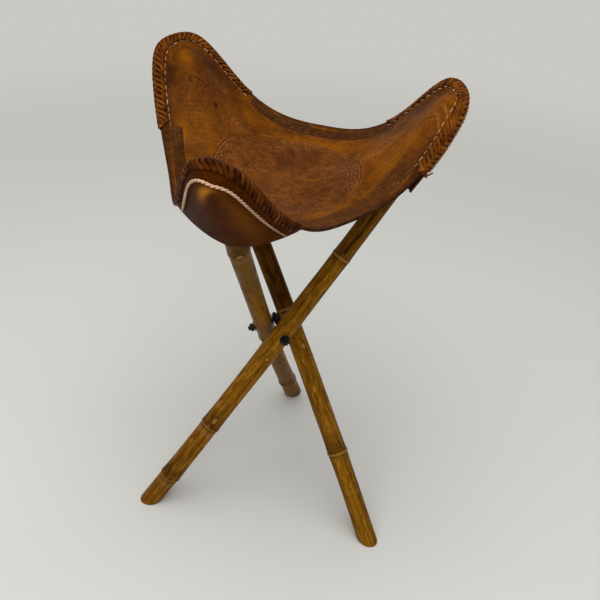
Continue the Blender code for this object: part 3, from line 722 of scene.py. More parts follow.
# Panel: rings of the sling's bowl, embossed on top, with a burnished edge
panel = {
    "columns": 1200,
    "rings": 190,
    "underRings": 22,
    "edgeRows": 7,
    "edgeBulge": 0.4,
    "grooveDepth": 0.0008,
    "creaseHeight": 0.0007,
    "medallion": (0.008, 0.030),
    "medallionRadius": 0.093,
    # lines round the medallion: radius, and how deep; the first three are measured in from its rim
    "ringLines": ((0.0, 1.0), (0.0035, 0.7), (0.0135, 0.8), (0.052, 0.8), (0.0485, 0.6), (0.0175, 0.9), (0.014, 0.6)),
    "beads": 44,
    "beadIn": 0.0085,
    "beadRadius": 0.0030,
    "stars": ((12, 0.019, 0.047, 0.42), (16, 0.0535, 0.0835, 0.46)),  # leaves, from, to, and share of their cell
    "bandOuter": 0.0075,
    "bandInner": (0.0205, 0.0205, 0.0300),
    "plainEdge": 2,
    "tickPeriod": 0.0062,
    "keyPeriod": 0.0125,
    "leaf": (0.112, 0.066, 0.026),  # a corner's leaf: where it starts, its length and its half width
    "veinPeriod": 0.0095,
    "scroll": (0.122, 0.036, 0.0056, 0.0145),  # its place out and aside, its pitch and its radius
    # dark spots: x, y, radius and depth of colour
    "spots": ((-0.061, 0.134, 0.0026, 0.9), (-0.075, 0.182, 0.010, 0.6), (-0.063, 0.178, 0.011, 0.5),
              (-0.114, 0.163, 0.010, 0.5), (0.195, 0.023, 0.010, 0.6), (0.197, 0.006, 0.010, 0.45),
              (0.153, 0.033, 0.013, 0.4), (0.129, -0.040, 0.012, 0.35),
              (-0.034, 0.066, 0.010, 0.35), (-0.104, 0.083, 0.012, 0.3), (0.060, -0.030, 0.012, 0.3),
              (0.118, 0.012, 0.0016, 0.7), (0.020, -0.060, 0.0014, 0.7), (-0.020, 0.118, 0.0015, 0.6)),
    # patches where the dye has worn yellow: x, y and radius
    "yellows": ((-0.116, 0.107, 0.024), (-0.083, 0.115, 0.022), (-0.035, 0.133, 0.022), (-0.011, 0.149, 0.018),
                (0.129, -0.019, 0.026), (0.125, 0.020, 0.026), (0.087, 0.100, 0.024), (0.155, -0.006, 0.020),
                (-0.092, 0.166, 0.010), (-0.119, 0.133, 0.012), (-0.119, 0.118, 0.014), (0.149, -0.017, 0.014)),
    # creases by the leg ends, raised a little and painted pale as a highlight: corner, middle and radius of the arc
    # across the leg, and its half width
    "creases": ((0, 0.150, 0.034, 0.013), (0, 0.146, 0.030, 0.010), (2, 0.158, 0.028, 0.012)),
}


def patchy(x, y, scale, seed):  # slow irregular patches from 0 to 1: sines in five directions, each bent by another
    total = np.zeros_like(x)
    for turn in range(5):
        a = seed + 2.4 * turn
        bend = 2.1 * np.sin(0.6 * scale * (x * math.sin(a) - y * math.cos(a)) + turn)
        total += np.sin(scale * (1 + 0.37 * turn) * (x * math.cos(a) + y * math.sin(a)) + 1.7 * seed * turn + bend)
    return 0.5 + 0.5 * np.clip(total / 2.6, -1, 1)


def keyPattern(along, over):  # distance from a square hooked key in a cell, drawn as short bars
    cell = np.mod(along, 1.0)
    turns = ((0.08, 0.0), (0.08, 1.0), (0.80, 1.0), (0.80, 0.28), (0.40, 0.28), (0.40, 0.66))
    nearest = np.full_like(cell, 9.0)
    for (x0, y0), (x1, y1) in zip(turns, turns[1:]):
        share = np.clip(((cell - x0) * (x1 - x0) + (over - y0) * (y1 - y0)) / ((x1 - x0) ** 2 + (y1 - y0) ** 2), 0, 1)
        nearest = np.minimum(nearest, np.hypot(cell - x0 - share * (x1 - x0), over - y0 - share * (y1 - y0)))
    return nearest


def tooling(x, y):  # grooves, crests, stippled ground and dyes of the embossing, from plan coordinates
    azimuth, radius = np.arctan2(y, x), np.hypot(x, y)
    share = radius / rimRadius(azimuth)
    groove, matte = np.zeros_like(x), np.zeros_like(x)
    dark = smoothStep(0.955, 1.0, share)

    def draw(strength, distance, width, where=1.0):
        np.maximum(groove, strength * bump(distance, width) * where, out=groove)

    # borders: a key band between double lines along each edge, or plain lines with ticks
    outer = panel["bandOuter"]
    for edge, (inset, inner) in enumerate(zip(edgeInsets, panel["bandInner"])):
        normal = tipAzimuth + third / 2 + edge * third
        inFrom = inset - (x * math.cos(normal) + y * math.sin(normal))
        along = -x * math.sin(normal) + y * math.cos(normal)
        plain = edge == panel["plainEdge"]
        reach = 1 - (smoothStep(0.095, 0.135, np.abs(along)) if plain else smoothStep(0.100, 0.104, np.abs(along)))
        band = smoothStep(outer - 0.001, outer, inFrom) * (1 - smoothStep(inner, inner + 0.001, inFrom)) * reach
        places = ((outer, 1.0), (outer + 0.0022, 0.6), (inner - 0.0022, 0.6), (inner, 1.0))
        if plain:
            places = [(place, 1.0) for place in np.linspace(outer, inner, 6)]
        for place, strength in places:
            draw(strength, inFrom - place, 0.0010 if plain else 0.0007, reach)
        if plain:
            ticks = np.abs(np.mod(along / panel["tickPeriod"] + 0.5, 1.0) - 0.5) * panel["tickPeriod"]
            draw(0.6, ticks, 0.0009, band * (inFrom > 0.6 * inner))
        else:
            draw(1.0, np.abs(along) - 0.101, 0.0007, band)
            over = (inFrom - outer - 0.0037) / (inner - outer - 0.0074)
            draw(0.9, keyPattern(along / panel["keyPeriod"], over) * panel["keyPeriod"], 0.0008, band)
        dark = np.maximum(dark, (0.62 if plain else 0.95) * band)
        hem = 0.8 * (1 - smoothStep(0.0, outer, inFrom)) * (1 - smoothStep(0.10, 0.13, np.abs(along)))
        dark = np.maximum(dark, hem)
    dark = np.maximum(dark, 0.9 * smoothStep(0.74, 0.95, share) * smoothStep(0.25, 0.75, patchy(x, y, 42, 5.2)))
    # medallion: rings, beads and two stars of leaves
    mx, my = x - panel["medallion"][0], y - panel["medallion"][1]
    mr, ma = np.hypot(mx, my), np.arctan2(my, mx)
    size, beads, beadIn = panel["medallionRadius"], panel["beads"], panel["beadIn"]
    inside = 1 - smoothStep(size - 0.001, size + 0.001, mr)
    for index, (place, strength) in enumerate(panel["ringLines"]):
        draw(strength, mr - (size - place if index < 3 else place), 0.0008)
    bead = np.hypot((mr - size + beadIn), np.sin(ma * beads / 2) * 2 * (size - beadIn) / beads)
    draw(0.75, bead - panel["beadRadius"], 0.0007, np.abs(mr - size + beadIn) < 0.006)
    for count, low, high, width in panel["stars"]:
        turn = np.mod(ma * count / (2 * math.pi), 1.0) - 0.5
        way = np.clip((mr - low) / (high - low), 0, 1)
        leaf = width * np.sin(np.pi * way) ** 0.7
        within = (mr > low) & (mr < high)
        cell = 2 * math.pi * np.maximum(mr, 0.01) / count
        draw(0.85, (np.abs(turn) - leaf) * cell, 0.0008, within)
        draw(0.5, turn * cell, 0.0006, within & (way < 0.8))
        matte = np.maximum(matte, 0.9 * within * smoothStep(0.0, 0.0015, (np.abs(turn) - leaf) * cell))
    red = 0.85 * inside * (0.55 + 0.45 * smoothStep(0.03, 0.09, mr))
    # corners: a leaf with side leaflets, and a scroll at each side of its foot
    corner, local = cornerAngle(azimuth)
    local = local - tipTurn(azimuth)
    u, v = radius * np.cos(local), radius * np.sin(local)
    low, long, wide = panel["leaf"]
    stem = (u > low) & (u < low + long)
    blade = wide * np.sin(np.pi * np.clip((u - low) / long, 0, 1) ** 0.8) ** 0.8
    draw(0.8, np.abs(v) - blade, 0.0009, stem)
    draw(0.7, v, 0.0008, stem)
    vein = np.mod((u - low) / panel["veinPeriod"] - np.abs(v) / 0.016, 1.0) - 0.5
    draw(0.55, vein * panel["veinPeriod"], 0.0007, stem & (np.abs(v) < 0.86 * blade))
    out, aside, pitch, size = panel["scroll"]
    for sign in (-1, 1):
        su, sv = u - out, sign * v - aside
        sr, sa = np.hypot(su, sv), np.arctan2(sv, su)
        spiral = np.mod(sr / pitch - sa / (2 * math.pi), 1.0) - 0.5
        draw(0.7, spiral * pitch, 0.0008, sr < size)
        red = np.maximum(red, 0.55 * (1 - smoothStep(0.010, 0.019, sr)))
    motif = smoothStep(0.105, 0.125, u) * (1 - smoothStep(0.170, 0.19, u)) * (1 - smoothStep(0.026, 0.045, np.abs(v)))
    red = np.maximum(red, 0.5 * motif)
    matte = np.maximum(matte, 0.6 * motif * (np.abs(v) > blade) * stem)
    # wear: the grooves are rubbed shallow in patches, and the dye is thin or stained in others
    groove *= 0.30 + 0.70 * patchy(x, y, 60, 1.3)
    red *= 0.45 + 0.55 * patchy(x, y, 48, 4.1)
    warm, crease = np.zeros_like(x), np.zeros_like(x)
    for px, py, size in panel["yellows"]:
        warm = np.maximum(warm, bump(np.hypot(x - px, y - py), size))
    warm = np.clip(warm * (0.5 + 0.7 * patchy(x, y, 90, 2.7)), 0, 1) * (1 - 0.75 * inside) * (1 - 0.5 * dark)
    stain = 0.30 * smoothStep(0.62, 0.95, patchy(x, y, 34, 0.7))
    for px, py, size, depth in panel["spots"]:
        away = np.hypot(x - px, y - py) / size * (0.8 + 0.4 * patchy(x, y, 120, 3.3))
        stain = np.maximum(stain, depth * np.exp(-(away**4 if size < 0.004 else away**2)))
    for which, middle, size, half in panel["creases"]:
        near = (corner == which) * bump(v, half, 4) * (u > middle)
        crease = np.maximum(crease, bump(np.hypot(u - middle, v) - size, 0.0011) * near)
    return {"groove": np.clip(groove, 0, 1), "matte": matte, "dark": dark, "red": red, "warm": warm,
            "stain": np.clip(stain, 0, 1), "crease": crease}


def makePanel():  # rings of the bowl, moved along its normal by half the thickness and the embossing
    columns = panel["columns"]
    azimuth = tipAzimuth - third / 2 + np.arange(columns) * 2 * math.pi / columns
    half = stool["panelThickness"] / 2
    rings = np.linspace(0.02, 1.0, panel["rings"])
    middle = np.stack([seatPoint(azimuth, share) for share in rings])
    middle[-1] = seatPoint(azimuth, 0.9995)
    marks = tooling(middle[..., 0], middle[..., 1])
    swell = 0.0005 * np.sin(41 * middle[..., 0] + 1.3) * np.sin(37 * middle[..., 1] + 0.4)
    lift = half + swell * (1 - smoothStep(0.7, 0.95, rings))[:, None] - panel["grooveDepth"] * marks["groove"]
    lift += panel["creaseHeight"] * marks["crease"]
    top = middle + lift[..., None] * seatNormal(middle)
    under = np.stack([seatPoint(azimuth, share) for share in np.linspace(0.02, 0.9995, panel["underRings"])])
    under = under - half * seatNormal(under)
    rim, rimNormal, inward = rimFrame(azimuth)
    turns = np.linspace(-math.pi / 2, math.pi / 2, panel["edgeRows"] + 2)[1:-1]
    edge = np.stack([rim - panel["edgeBulge"] * half * math.cos(a) * inward + half * math.sin(a) * rimNormal
                     for a in turns])
    grid = np.concatenate((under, edge, top[::-1]))
    poles = np.array(((0, 0, middleHeight - half), (0, 0, middleHeight + half)))
    mesh = makeMesh("panel", np.concatenate((grid.reshape(-1, 3), poles)) + shift,
                    [gridFaces(len(grid), columns, True), endFans(len(grid), columns)])
    bend = np.gradient(np.gradient(marks["groove"], axis=0), axis=0)
    # rubbed crests beside the grooves, and a painted highlight along the creases
    marks["crestWearAndCreaseHighlight"] = np.clip(np.clip(bend * 2, 0, 1) * (marks["groove"] < 0.3) + 0.8 * marks.pop("crease"), 0, 1)
    marks["flesh"] = np.zeros_like(marks["groove"])
    for name, values in marks.items():
        lower = np.zeros((len(under) + len(edge), columns))
        if name == "dark":
            lower[len(under):] = 1.0
        if name == "flesh":
            lower[:len(under)] = 1.0
        whole = np.concatenate((lower, values[::-1]))
        mark(mesh, name, np.concatenate((whole.reshape(-1), (lower[0, 0], values[0].mean()))))
    return mesh


panelMesh = makePanel()
print("panel:", len(panelMesh.polygons), "faces")
axisPoint = Vector((*shift[:2], middleHeight))


def pastAzimuth(azimuth, sign=1):  # an upright plane through the seat's axis that keeps what lies past an azimuth
    return axisPoint, sign * Vector((-math.sin(azimuth), math.cos(azimuth), 0))


for corner, side in enumerate(corners):
    first = tipAzimuth + corner * third - third / 2
    addFolding("panel_" + side, panelMesh.copy(), corner, tooledLeather, "tooled_leather", "seat_panel",
               cuts=(pastAzimuth(first), pastAzimuth(first + third, -1)), turns=fold["panelTurns"])
bpy.data.meshes.remove(panelMesh)
print("panel done")

# Pockets: smooth leather from the rim round the leg's outer side
pocket = {
    "columns": 97,
    "rows": 41,
    "highlightAside": -0.22,  # where the painted highlight sits, as a share of the reach
    "cutBack": (math.radians(8.0), 0.0, 0.0),  # how far each pocket stops short at one side
}


def makePocket(corner):  # a sheet from the line down the leg to the rim, thickened to both sides
    columns, rows = pocket["columns"], pocket["rows"]
    sideShare = np.linspace(-1, 1, columns)
    share = np.linspace(0, 1, rows)[:, None]
    points = pocketPoint(corner, sideShare * stool["lacingReach"], share)
    # both halves share the line down the leg
    joined = np.arange(rows * columns)
    joined[:columns] = np.minimum(np.arange(columns), columns - 1 - np.arange(columns))
    mesh = makeMesh("pocket", points.reshape(-1, 3) + shift, [joined[gridFaces(rows, columns)]])
    aside = sideShare - pocket["highlightAside"]
    # a painted highlight below the cord, and a faint second one further along the rim
    pocketHighlight = bump(aside, 0.20) * bump(share - 0.52, 0.11) + 0.15 * bump(aside - 0.75, 0.35) * bump(share - 0.45, 0.22)
    mark(mesh, "pocketHighlight", pocketHighlight.reshape(-1))
    mark(mesh, "low", (smoothStep(0.25, 0.9, -sideShare) * (0.5 + 0.5 * share)).reshape(-1))
    faceOut(mesh, merge=False)
    holder = bpy.data.objects.new("pocketShell", mesh)
    bpy.context.scene.collection.objects.link(holder)
    shell = holder.modifiers.new("thickness", "SOLIDIFY")
    shell.thickness = stool["pocketThickness"]
    shell.offset = 0
    shell.use_even_offset = True
    bpy.context.view_layer.update()
    thick = bpy.data.meshes.new_from_object(holder.evaluated_get(bpy.context.evaluated_depsgraph_get()))
    bpy.data.objects.remove(holder)
    bpy.data.meshes.remove(mesh)
    return thick


for corner, side in enumerate(corners):
    cutBack = pocket["cutBack"][corner]
    start = tipAzimuth + corner * third - stool["lacingReach"] + cutBack
    addFolding("pocket_skin_" + side, makePocket(corner), corner, pocketLeather, "pocket_leather", "pocket_" + side,
               cuts=(pastAzimuth(start),) if cutBack else ())
print("pockets done")

# Lacing: five flat laces plaited over the bound edge, on a core painted dark as shade, with a row of holes painted
# dark as shade on the panel's side
lacing = {
    "strands": 5,
    "reach": 0.0105,
    "gap": 0.0003,
    "bulge": 0.0012,
    "pitch": 0.0066,
    "swing": 0.0093,
    "aside": -0.0026,
    "narrowEnd": (0.25, 0.012),  # share of the swing that is left at the ends, and the run over which it widens
    "laceWidth": 0.0050,
    "laceThickness": 0.0012,
    "weave": 0.0008,
    "lift": 0.0003,
    "stations": 420,
    "coreInset": 0.0004,
    "coreFaces": (0.0002, -0.0004),
    "holeReach": 0.0089,
    "holeSize": (0.0014, 0.0012),
    "holeRings": ((1.0, -0.00045), (0.9, -0.00012), (0.5, -0.0002)),  # share of the size, and height
    "looseCorner": 0,
    "looseEnd": (0.013, 0.0034, 0.0013),  # length, width and thickness
    # mean tone of each corner's laces; the front corner's low value is painted shade
    "shades": (0.48, 0.50, 0.16),
    "seed": 40,
    "turns": (math.radians(6.0), 0.0, 0.0),  # how far each corner's binding is shifted along the rim
}


def bindingAngles(corner, count, share=1.0):  # angles along a corner's bound edge
    return np.linspace(-1, 1, count) * stool["lacingReach"] * share + lacing["turns"][corner]


def bindingRim(corner, angle):  # rim points there, and the direction in over the seat
    return rimFrame(tipAzimuth + corner * third + angle)[::2]


def onSeat(rim, inward, reach, rise):  # points at a reach from the rim, raised along the seat's normal; and the normal
    base = rim + reach * inward
    base[:, 2] = seatHeight(base[:, 0], base[:, 1])
    normal = seatNormal(base)
    return base + rise * normal, normal


def onPocket(corner, angle, reach, rise):  # the same on the outside of the pocket
    ends = pocketPoint(corner, angle, np.ones_like(angle)) - pocketPoint(corner, angle, np.zeros_like(angle))
    share = 1 - reach / np.linalg.norm(ends, axis=-1)
    facing = pocketNormal(corner, angle, share)
    return pocketPoint(corner, angle, share) + rise * facing, facing


def pathLength(points):  # way along a path to each of its points, or the mean over paths that lie side by side
    steps = np.linalg.norm(np.diff(points, axis=0), axis=-1).reshape(len(points) - 1, -1)
    return np.concatenate(([0], np.cumsum(steps.mean(axis=1))))


def laceTable(corner):  # rows of points: out over the seat to the rim, half an ellipse round it, and down the pocket
    angle = bindingAngles(corner, 241)
    rim, inward = bindingRim(corner, angle)
    reaches = np.linspace(0, lacing["reach"], 9)
    above = [onSeat(rim, inward, reach, stool["panelThickness"] / 2 + lacing["gap"])[0] for reach in reaches[::-1]]
    below = [onPocket(corner, angle, reach, stool["pocketThickness"] / 2 + lacing["gap"])[0] for reach in reaches]
    centre = (above[-1] + below[0]) / 2
    turns = np.linspace(0, math.pi, 9)[1:-1]
    edge = [centre + math.cos(a) * (above[-1] - centre) - math.sin(a) * lacing["bulge"] * inward for a in turns]
    table = np.stack(above + edge + below)
    alongQ = pathLength(table)
    facing = unit(np.cross(np.gradient(table, axis=1), np.gradient(table, axis=0)))
    facing *= np.sign(((table - centre) * facing).sum(-1, keepdims=True).mean())
    return table, facing, alongQ - alongQ[12], pathLength(rim), inward


def onTable(table, rowAt, columnAt):  # bilinear look-up in a table of points
    rowAt = np.clip(rowAt, 0, table.shape[0] - 1.001)
    columnAt = np.clip(columnAt, 0, table.shape[1] - 1.001)
    r, c = rowAt.astype(int), columnAt.astype(int)
    fr, fc = (rowAt - r)[..., None], (columnAt - c)[..., None]
    return ((1 - fr) * ((1 - fc) * table[r, c] + fc * table[r, c + 1])
            + fr * ((1 - fc) * table[r + 1, c] + fc * table[r + 1, c + 1]))


def barFaces(bars, rows, sides):  # sides and end caps of bars that are each a grid of rings
    starts = (np.arange(bars) * rows * sides)[:, None, None]
    ring = np.arange(sides)
    ends = np.stack((ring[::-1], ring + (rows - 1) * sides))
    return [(gridFaces(rows, sides, True)[None] + starts).reshape(-1, 4), (ends[None] + starts).reshape(-1, sides)]


def sweepBars(centres, sideways, up, profile):  # a closed profile carried along many paths at once
    points = (centres[:, :, None] + sideways[:, :, None] * profile[:, 0][..., None]
              + up[:, :, None] * profile[:, 1][..., None])
    return points.reshape(-1, 3), barFaces(*points.shape[:3])


def strapProfile(width, thickness):  # a flat strap, crowned above and softer below
    w, t = width / 2, thickness / 2
    return np.array(((w, 0), (0.78 * w, 0.7 * t), (0.3 * w, t), (-0.3 * w, t), (-0.78 * w, 0.7 * t), (-w, 0),
                     (-0.6 * w, -t), (0.6 * w, -t)))


def makeLacing(corner):  # flat plait: each strand swings by a sine, and rises by the sine of twice its phase
    table, facing, alongQ, alongS, inward = laceTable(corner)
    length = alongS[-1]
    strands, stations = lacing["strands"], lacing["stations"]
    least, widening = lacing["narrowEnd"]

    def narrow(at):
        return least + (1 - least) * smoothStep(0, widening, at) * smoothStep(0, widening, length - at)

    def tableAt(v, s):  # points and normals at a place across and along
        rowAt = np.interp(v, alongQ, np.arange(len(alongQ)))
        columnAt = np.broadcast_to(np.interp(s, alongS, np.arange(len(alongS))), rowAt.shape)
        return onTable(table, rowAt, columnAt), unit(onTable(facing, rowAt, columnAt))

    lay = length / round(length / (strands * lacing["pitch"]))
    strand = np.arange(strands)[:, None]
    s = np.broadcast_to(np.linspace(0, length, stations), (strands, stations))
    phase = 2 * math.pi * (s / lay + strand / strands) + 0.12 * np.sin(310 * s + 2.1 * strand)
    uneven = 1 + 0.07 * np.sin(430 * s + 1.9 * strand) + 0.05 * np.sin(173 * s + corner)
    base, up = tableAt(lacing["swing"] * narrow(s) * uneven * np.sin(phase) + lacing["aside"], s)
    centres = base + (lacing["lift"] + lacing["weave"] * np.sin(2 * phase))[..., None] * up
    sideways = unit(np.cross(up, unit(np.gradient(centres, axis=1))))
    profile = strapProfile(lacing["laceWidth"], lacing["laceThickness"])
    points, faces = sweepBars(centres, sideways, up, profile)
    rng = np.random.default_rng(lacing["seed"] + corner)
    lobes = np.linspace(0, length, 6 * round(length / lay) + 1)
    shade = np.stack([np.interp(s[0], lobes, rng.normal(lacing["shades"][corner], 0.25, len(lobes)))
                      for each in range(strands)])
    shade = np.repeat(np.clip(shade, 0, 1).reshape(-1), len(profile))
    # painted shade on each strand's sides and where it dips under its neighbour
    strandEdgeShade = np.array((0.9, 0.3, 0, 0, 0.3, 0.9, 1, 1))
    shadeAndDirt = np.clip(0.8 * np.clip(-np.sin(2 * phase), 0, 1)[..., None] + strandEdgeShade, 0, 1).reshape(-1)
    groups = [(points, faces, shade, shadeAndDirt)]
    # the core under the laces, painted dark as shade between them
    coreS = np.linspace(0, length, 121)
    over = np.linspace(-1, 1, 15)[:, None] * (lacing["swing"] - lacing["coreInset"]) * narrow(coreS) + lacing["aside"]
    core, coreUp = tableAt(over, coreS)
    upper, lower = (core + height * coreUp for height in lacing["coreFaces"])
    ring = np.concatenate((upper, lower[::-1])).transpose(1, 0, 2)
    points = ring.reshape(-1, 3)
    groups.append((points, barFaces(1, *ring.shape[:2]), np.zeros(len(points)), np.full(len(points), 0.8)))
    # holes: small dishes on the panel between the lobes, painted dark as shade
    holeS = (np.arange(1, int(length * strands / lay)) + 0.25) * lay / strands
    holeRow = np.full_like(holeS, 8 * (1 - lacing["holeReach"] / lacing["reach"]))
    holeColumn = np.interp(holeS, alongS, np.arange(len(alongS)))
    base, holeUp = onTable(table, holeRow, holeColumn), unit(onTable(facing, holeRow, holeColumn))
    run = unit(onTable(table, holeRow, holeColumn + 1) - base)
    beside = np.cross(holeUp, run)
    spin = np.arange(10) * math.pi / 5
    long, wide = lacing["holeSize"]
    oval = long * np.cos(spin)[:, None] * run[:, None] + wide * np.sin(spin)[:, None] * beside[:, None]
    dish = np.stack([base[:, None] + share * oval + sink * holeUp[:, None] for share, sink in lacing["holeRings"]], 1)
    points, (sides, caps) = dish.reshape(-1, 3), barFaces(*dish.shape[:3])
    caps = caps.reshape(len(dish), 2, -1)[:, ::-1].reshape(caps.shape)  # each dish's floor comes first
    groups.append((points, [sides, caps], np.zeros(len(points)), np.ones(len(points))))
    if corner == lacing["looseCorner"]:  # the end of a lace stands loose at the lower end
        long, wide, thick = lacing["looseEnd"]
        way = np.linspace(0, 1, 14)
        start, out, fore = table[14, 2], -inward[2], unit(table[14, 0] - table[14, 4])
        rest = np.stack([start + long * reach * (way[:, None] * (0.9 * out + push * fore))
                         + (0.004 * curl * way**2)[:, None] * np.array((0, 0, 1.0))
                         for reach, push, curl in ((1.0, -0.2, 1.2), (0.6, 0.25, 0.3))])
        tip = unit(np.gradient(rest, axis=1))
        flat = unit(np.cross(tip, np.broadcast_to(fore, tip.shape)))
        taper = (1 - 0.55 * way**2)[None, :, None]
        points, faces = sweepBars(rest, unit(np.cross(flat, tip)) * taper, flat, strapProfile(wide, thick))
        groups.append((points, faces, np.full(len(points), 0.35), np.full(len(points), 0.1)))
    offsets = np.cumsum([0] + [len(group[0]) for group in groups])
    faces = [part + offset for group, offset in zip(groups, offsets) for part in group[1]]
    points, shade, shadeAndDirt = (np.concatenate([group[item] for group in groups]) for item in (0, 2, 3))
    mesh = makeMesh("lacing", points + shift, faces)
    mark(mesh, "shade", shade)
    mark(mesh, "shadeAndDirt", shadeAndDirt)
    faceOut(mesh)
    return mesh


for corner, side in enumerate(corners):
    addFolding("braid_" + side, makeLacing(corner), corner, laceLeather, "lace_leather", "lacing_" + side)
print("lacing done")

# Seam: a two-ply cord on the pocket beside the lacing, and stitches on the panel's side
seam = {
    "plyRadius": 0.00085,
    "twistRadius": 0.00075,
    "lay": 0.0100,
    "stations": 420,
    "sides": 8,
    "reach": 0.0098,
    "share": 0.95,
    "stitchReach": 0.0122,
    "stitchLength": 0.0072,
    "stitchPeriod": 0.0093,
    "stitchRadius": 0.0006,
    "stitchSides": 6,
    "seed": 70,
}


def threadMesh(name, paths, sideways, up, spin, squash, radius, along, shadeAndDirt):  # round threads with their twist, painted shade and dirt
    profile = radius * np.stack((np.cos(spin), squash * np.sin(spin)), -1)
    points, faces = sweepBars(paths, sideways, up, profile)
    mesh = makeMesh(name, points + shift, faces)
    shape = (*paths.shape[:2], len(spin))
    layers = (np.cos(spin) * radius, np.sin(spin) * radius, along[..., None])
    mark(mesh, "twist", np.stack([np.broadcast_to(layer, shape) for layer in layers], -1).reshape(-1, 3))
    mark(mesh, "shadeAndDirt", np.broadcast_to(shadeAndDirt, shape).reshape(-1))
    faceOut(mesh)
    return mesh


def makeSeam(corner):  # two plies wound round a path on the pocket, half a turn apart
    radius, sides = seam["plyRadius"], seam["sides"]
    rise = stool["pocketThickness"] / 2 + radius + seam["twistRadius"]
    path, facing = onPocket(corner, bindingAngles(corner, seam["stations"], seam["share"]), seam["reach"], rise)
    beside = np.cross(facing, unit(np.gradient(path, axis=0)))
    length = pathLength(path)
    turn = (2 * math.pi * length / seam["lay"] + np.array((0, math.pi))[:, None])[..., None]
    away = np.cos(turn) * facing + np.sin(turn) * beside
    centres, up = path + seam["twistRadius"] * away, unit(away)
    sideways = unit(np.cross(up, unit(np.gradient(centres, axis=1))))
    thin = (0.55 + 0.45 * smoothStep(0, 0.03, length) * smoothStep(0, 0.05, length[-1] - length))[:, None]
    spin = np.arange(sides) * 2 * math.pi / sides
    # darker towards the cord's far end; painted shade where the two plies press together
    darkerToEnd = 0.1 + 0.45 * smoothStep(0.45, 1.0, length / length[-1])
    shadeAndDirt = np.maximum(0.8 * np.clip(-np.sin(spin), 0, 1) ** 2, darkerToEnd[:, None])
    return threadMesh("seam", centres, sideways * thin, up * thin, spin, 1.0, radius, length, shadeAndDirt)


def makeStitches(corner):  # short threads that rise from the panel and go down again
    radius, sides = seam["stitchRadius"], seam["stitchSides"]
    rim, inward = bindingRim(corner, bindingAngles(corner, 481))
    base, up = onSeat(rim, inward, seam["stitchReach"], stool["panelThickness"] / 2)
    length = pathLength(base)
    count = int(length[-1] / seam["stitchPeriod"])
    way = np.linspace(-0.5, 0.5, 9)
    rng = np.random.default_rng(seam["seed"] + corner)
    long = seam["stitchLength"] * rng.uniform(0.75, 1.1, count)
    s = (np.arange(count) + 0.5)[:, None] * length[-1] / count + long[:, None] * way[None, :]
    columnAt = np.interp(s, length, np.arange(len(length)))
    base, raised = (onTable(np.stack((values, values)), np.zeros_like(columnAt), columnAt) for values in (base, up))
    raised = unit(raised)
    centres = base + (radius * (1.1 - 2.6 * np.abs(2 * way) ** 4))[None, :, None] * raised
    sideways = unit(np.cross(raised, unit(np.gradient(centres, axis=1))))
    spin = np.arange(sides) * 2 * math.pi / sides
    shadeAndDirt = rng.uniform(0.25, 0.85, count)[:, None, None]
    return threadMesh("stitches", centres, sideways, raised, spin, 0.9, radius, s, shadeAndDirt)


for corner, side in enumerate(corners):
    addFolding("seam_cord_" + side, makeSeam(corner), corner, seamCord, "seam_cord", "seam_" + side)
    addFolding("stitches_" + side, makeStitches(corner), corner, seamCord, "seam_cord")
print("seams done")

# Hardware keeps the solids' shapes
for name in ("long_bolt", "long_bolt_nut", "head_washer", "nut_washer", "eye_washer_back", "eye_washer_front",
             "eye_bolt", "eye_bolt_nut", "shank_washer"):
    node = frame["nodes"][name]
    node.data.materials.clear()
    node.data.materials.append(blackSteel)

# Floor, lights and camera
view = {
    "place": (-0.2092, -0.7364, 0.8713),
    "forward": (0.2521, 0.7798, -0.5730),
    "right": (0.9515, -0.3076, 0.0),
    "roll": math.radians(4.10),
    "lens": 42.0,
    "floorHalf": 9.0,
    "backdrop": tone(202, 201, 196),
}


def sightRays():  # 1 for a ray of the camera, of a reflection or through a clear piece, else 0
    rays = put("ShaderNodeLightPath").outputs
    seen = sums("MAXIMUM", rays["Is Glossy Ray"], rays["Is Transmission Ray"])
    return sums("MAXIMUM", rays["Is Camera Ray"], seen)


ground = view["floorHalf"] * np.array(((-1, -1, 0), (1, -1, 0), (1, 1, 0), (-1, 1, 0)))
floorMesh = makeMesh("floor", ground, [np.array([[0, 1, 2, 3]])])
floor = bpy.data.objects.new("floor", floorMesh)
bpy.context.scene.collection.objects.link(floor)
floorPaint, shader = newMaterial("floorPaint", {"Base Color": tone(214, 214, 209), "Roughness": 0.9})
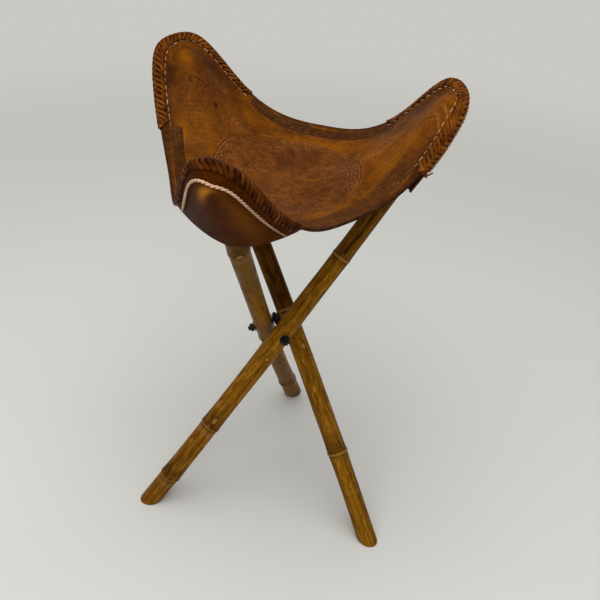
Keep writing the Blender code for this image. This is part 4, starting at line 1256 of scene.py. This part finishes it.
# far from the stool the camera sees one even pale tone, and near it the lit floor with its shadow
away = put("ShaderNodeVectorMath", {0: objectPlace()}, operation="LENGTH").outputs["Value"]
pale = put("ShaderNodeEmission", {"Color": view["backdrop"]})
far = times(spread(away, 0.7, 2.4), sightRays())
blend = put("ShaderNodeMixShader", {0: far, 1: shader.outputs[0], 2: pale.outputs[0]})
tree.links.new(blend.outputs[0], tree.nodes["Material Output"].inputs["Surface"])
floorMesh.materials.append(floorPaint)

world = bpy.data.worlds.new("studio")
world.use_nodes = True
tree = world.node_tree
light = tree.nodes["Background"]
light.inputs["Color"].default_value = (1.0, 0.99, 0.97, 1)
light.inputs["Strength"].default_value = 0.36
pale = put("ShaderNodeBackground", {"Color": view["backdrop"]})
blend = put("ShaderNodeMixShader", {0: sightRays(), 1: light.outputs[0], 2: pale.outputs[0]})
tree.links.new(blend.outputs[0], tree.nodes["World Output"].inputs["Surface"])
bpy.context.scene.world = world


def addLamp(name, place, target, size, power):
    lamp = bpy.data.lights.new(name, "AREA")
    lamp.shape = "SQUARE"
    lamp.size = size
    lamp.energy = power
    holder = bpy.data.objects.new(name, lamp)
    holder.location = place
    holder.rotation_euler = (Vector(target) - Vector(place)).to_track_quat("-Z", "Y").to_euler()
    bpy.context.scene.collection.objects.link(holder)


addLamp("key", (-0.25, -0.30, 2.4), (0, 0, 0.3), 2.2, 46)
addLamp("fill", (-0.9, -1.6, 1.4), (0, 0, 0.4), 1.4, 6)

forward = Vector(view["forward"]).normalized()
rightFlat = Vector(view["right"]).normalized()
upFlat = rightFlat.cross(forward).normalized()
right = math.cos(view["roll"]) * rightFlat + math.sin(view["roll"]) * upFlat
upward = -math.sin(view["roll"]) * rightFlat + math.cos(view["roll"]) * upFlat
camera = bpy.data.objects.new("camera", bpy.data.cameras.new("camera"))
camera.data.lens = view["lens"]
camera.data.sensor_width = 36.0
camera.matrix_world = Matrix.Translation(Vector(view["place"]) + Vector(shift)) @ Matrix(
    (right, upward, -forward)).transposed().to_4x4()
bpy.context.scene.collection.objects.link(camera)
bpy.context.scene.camera = camera
bpy.context.scene.view_settings.view_transform = "Standard"
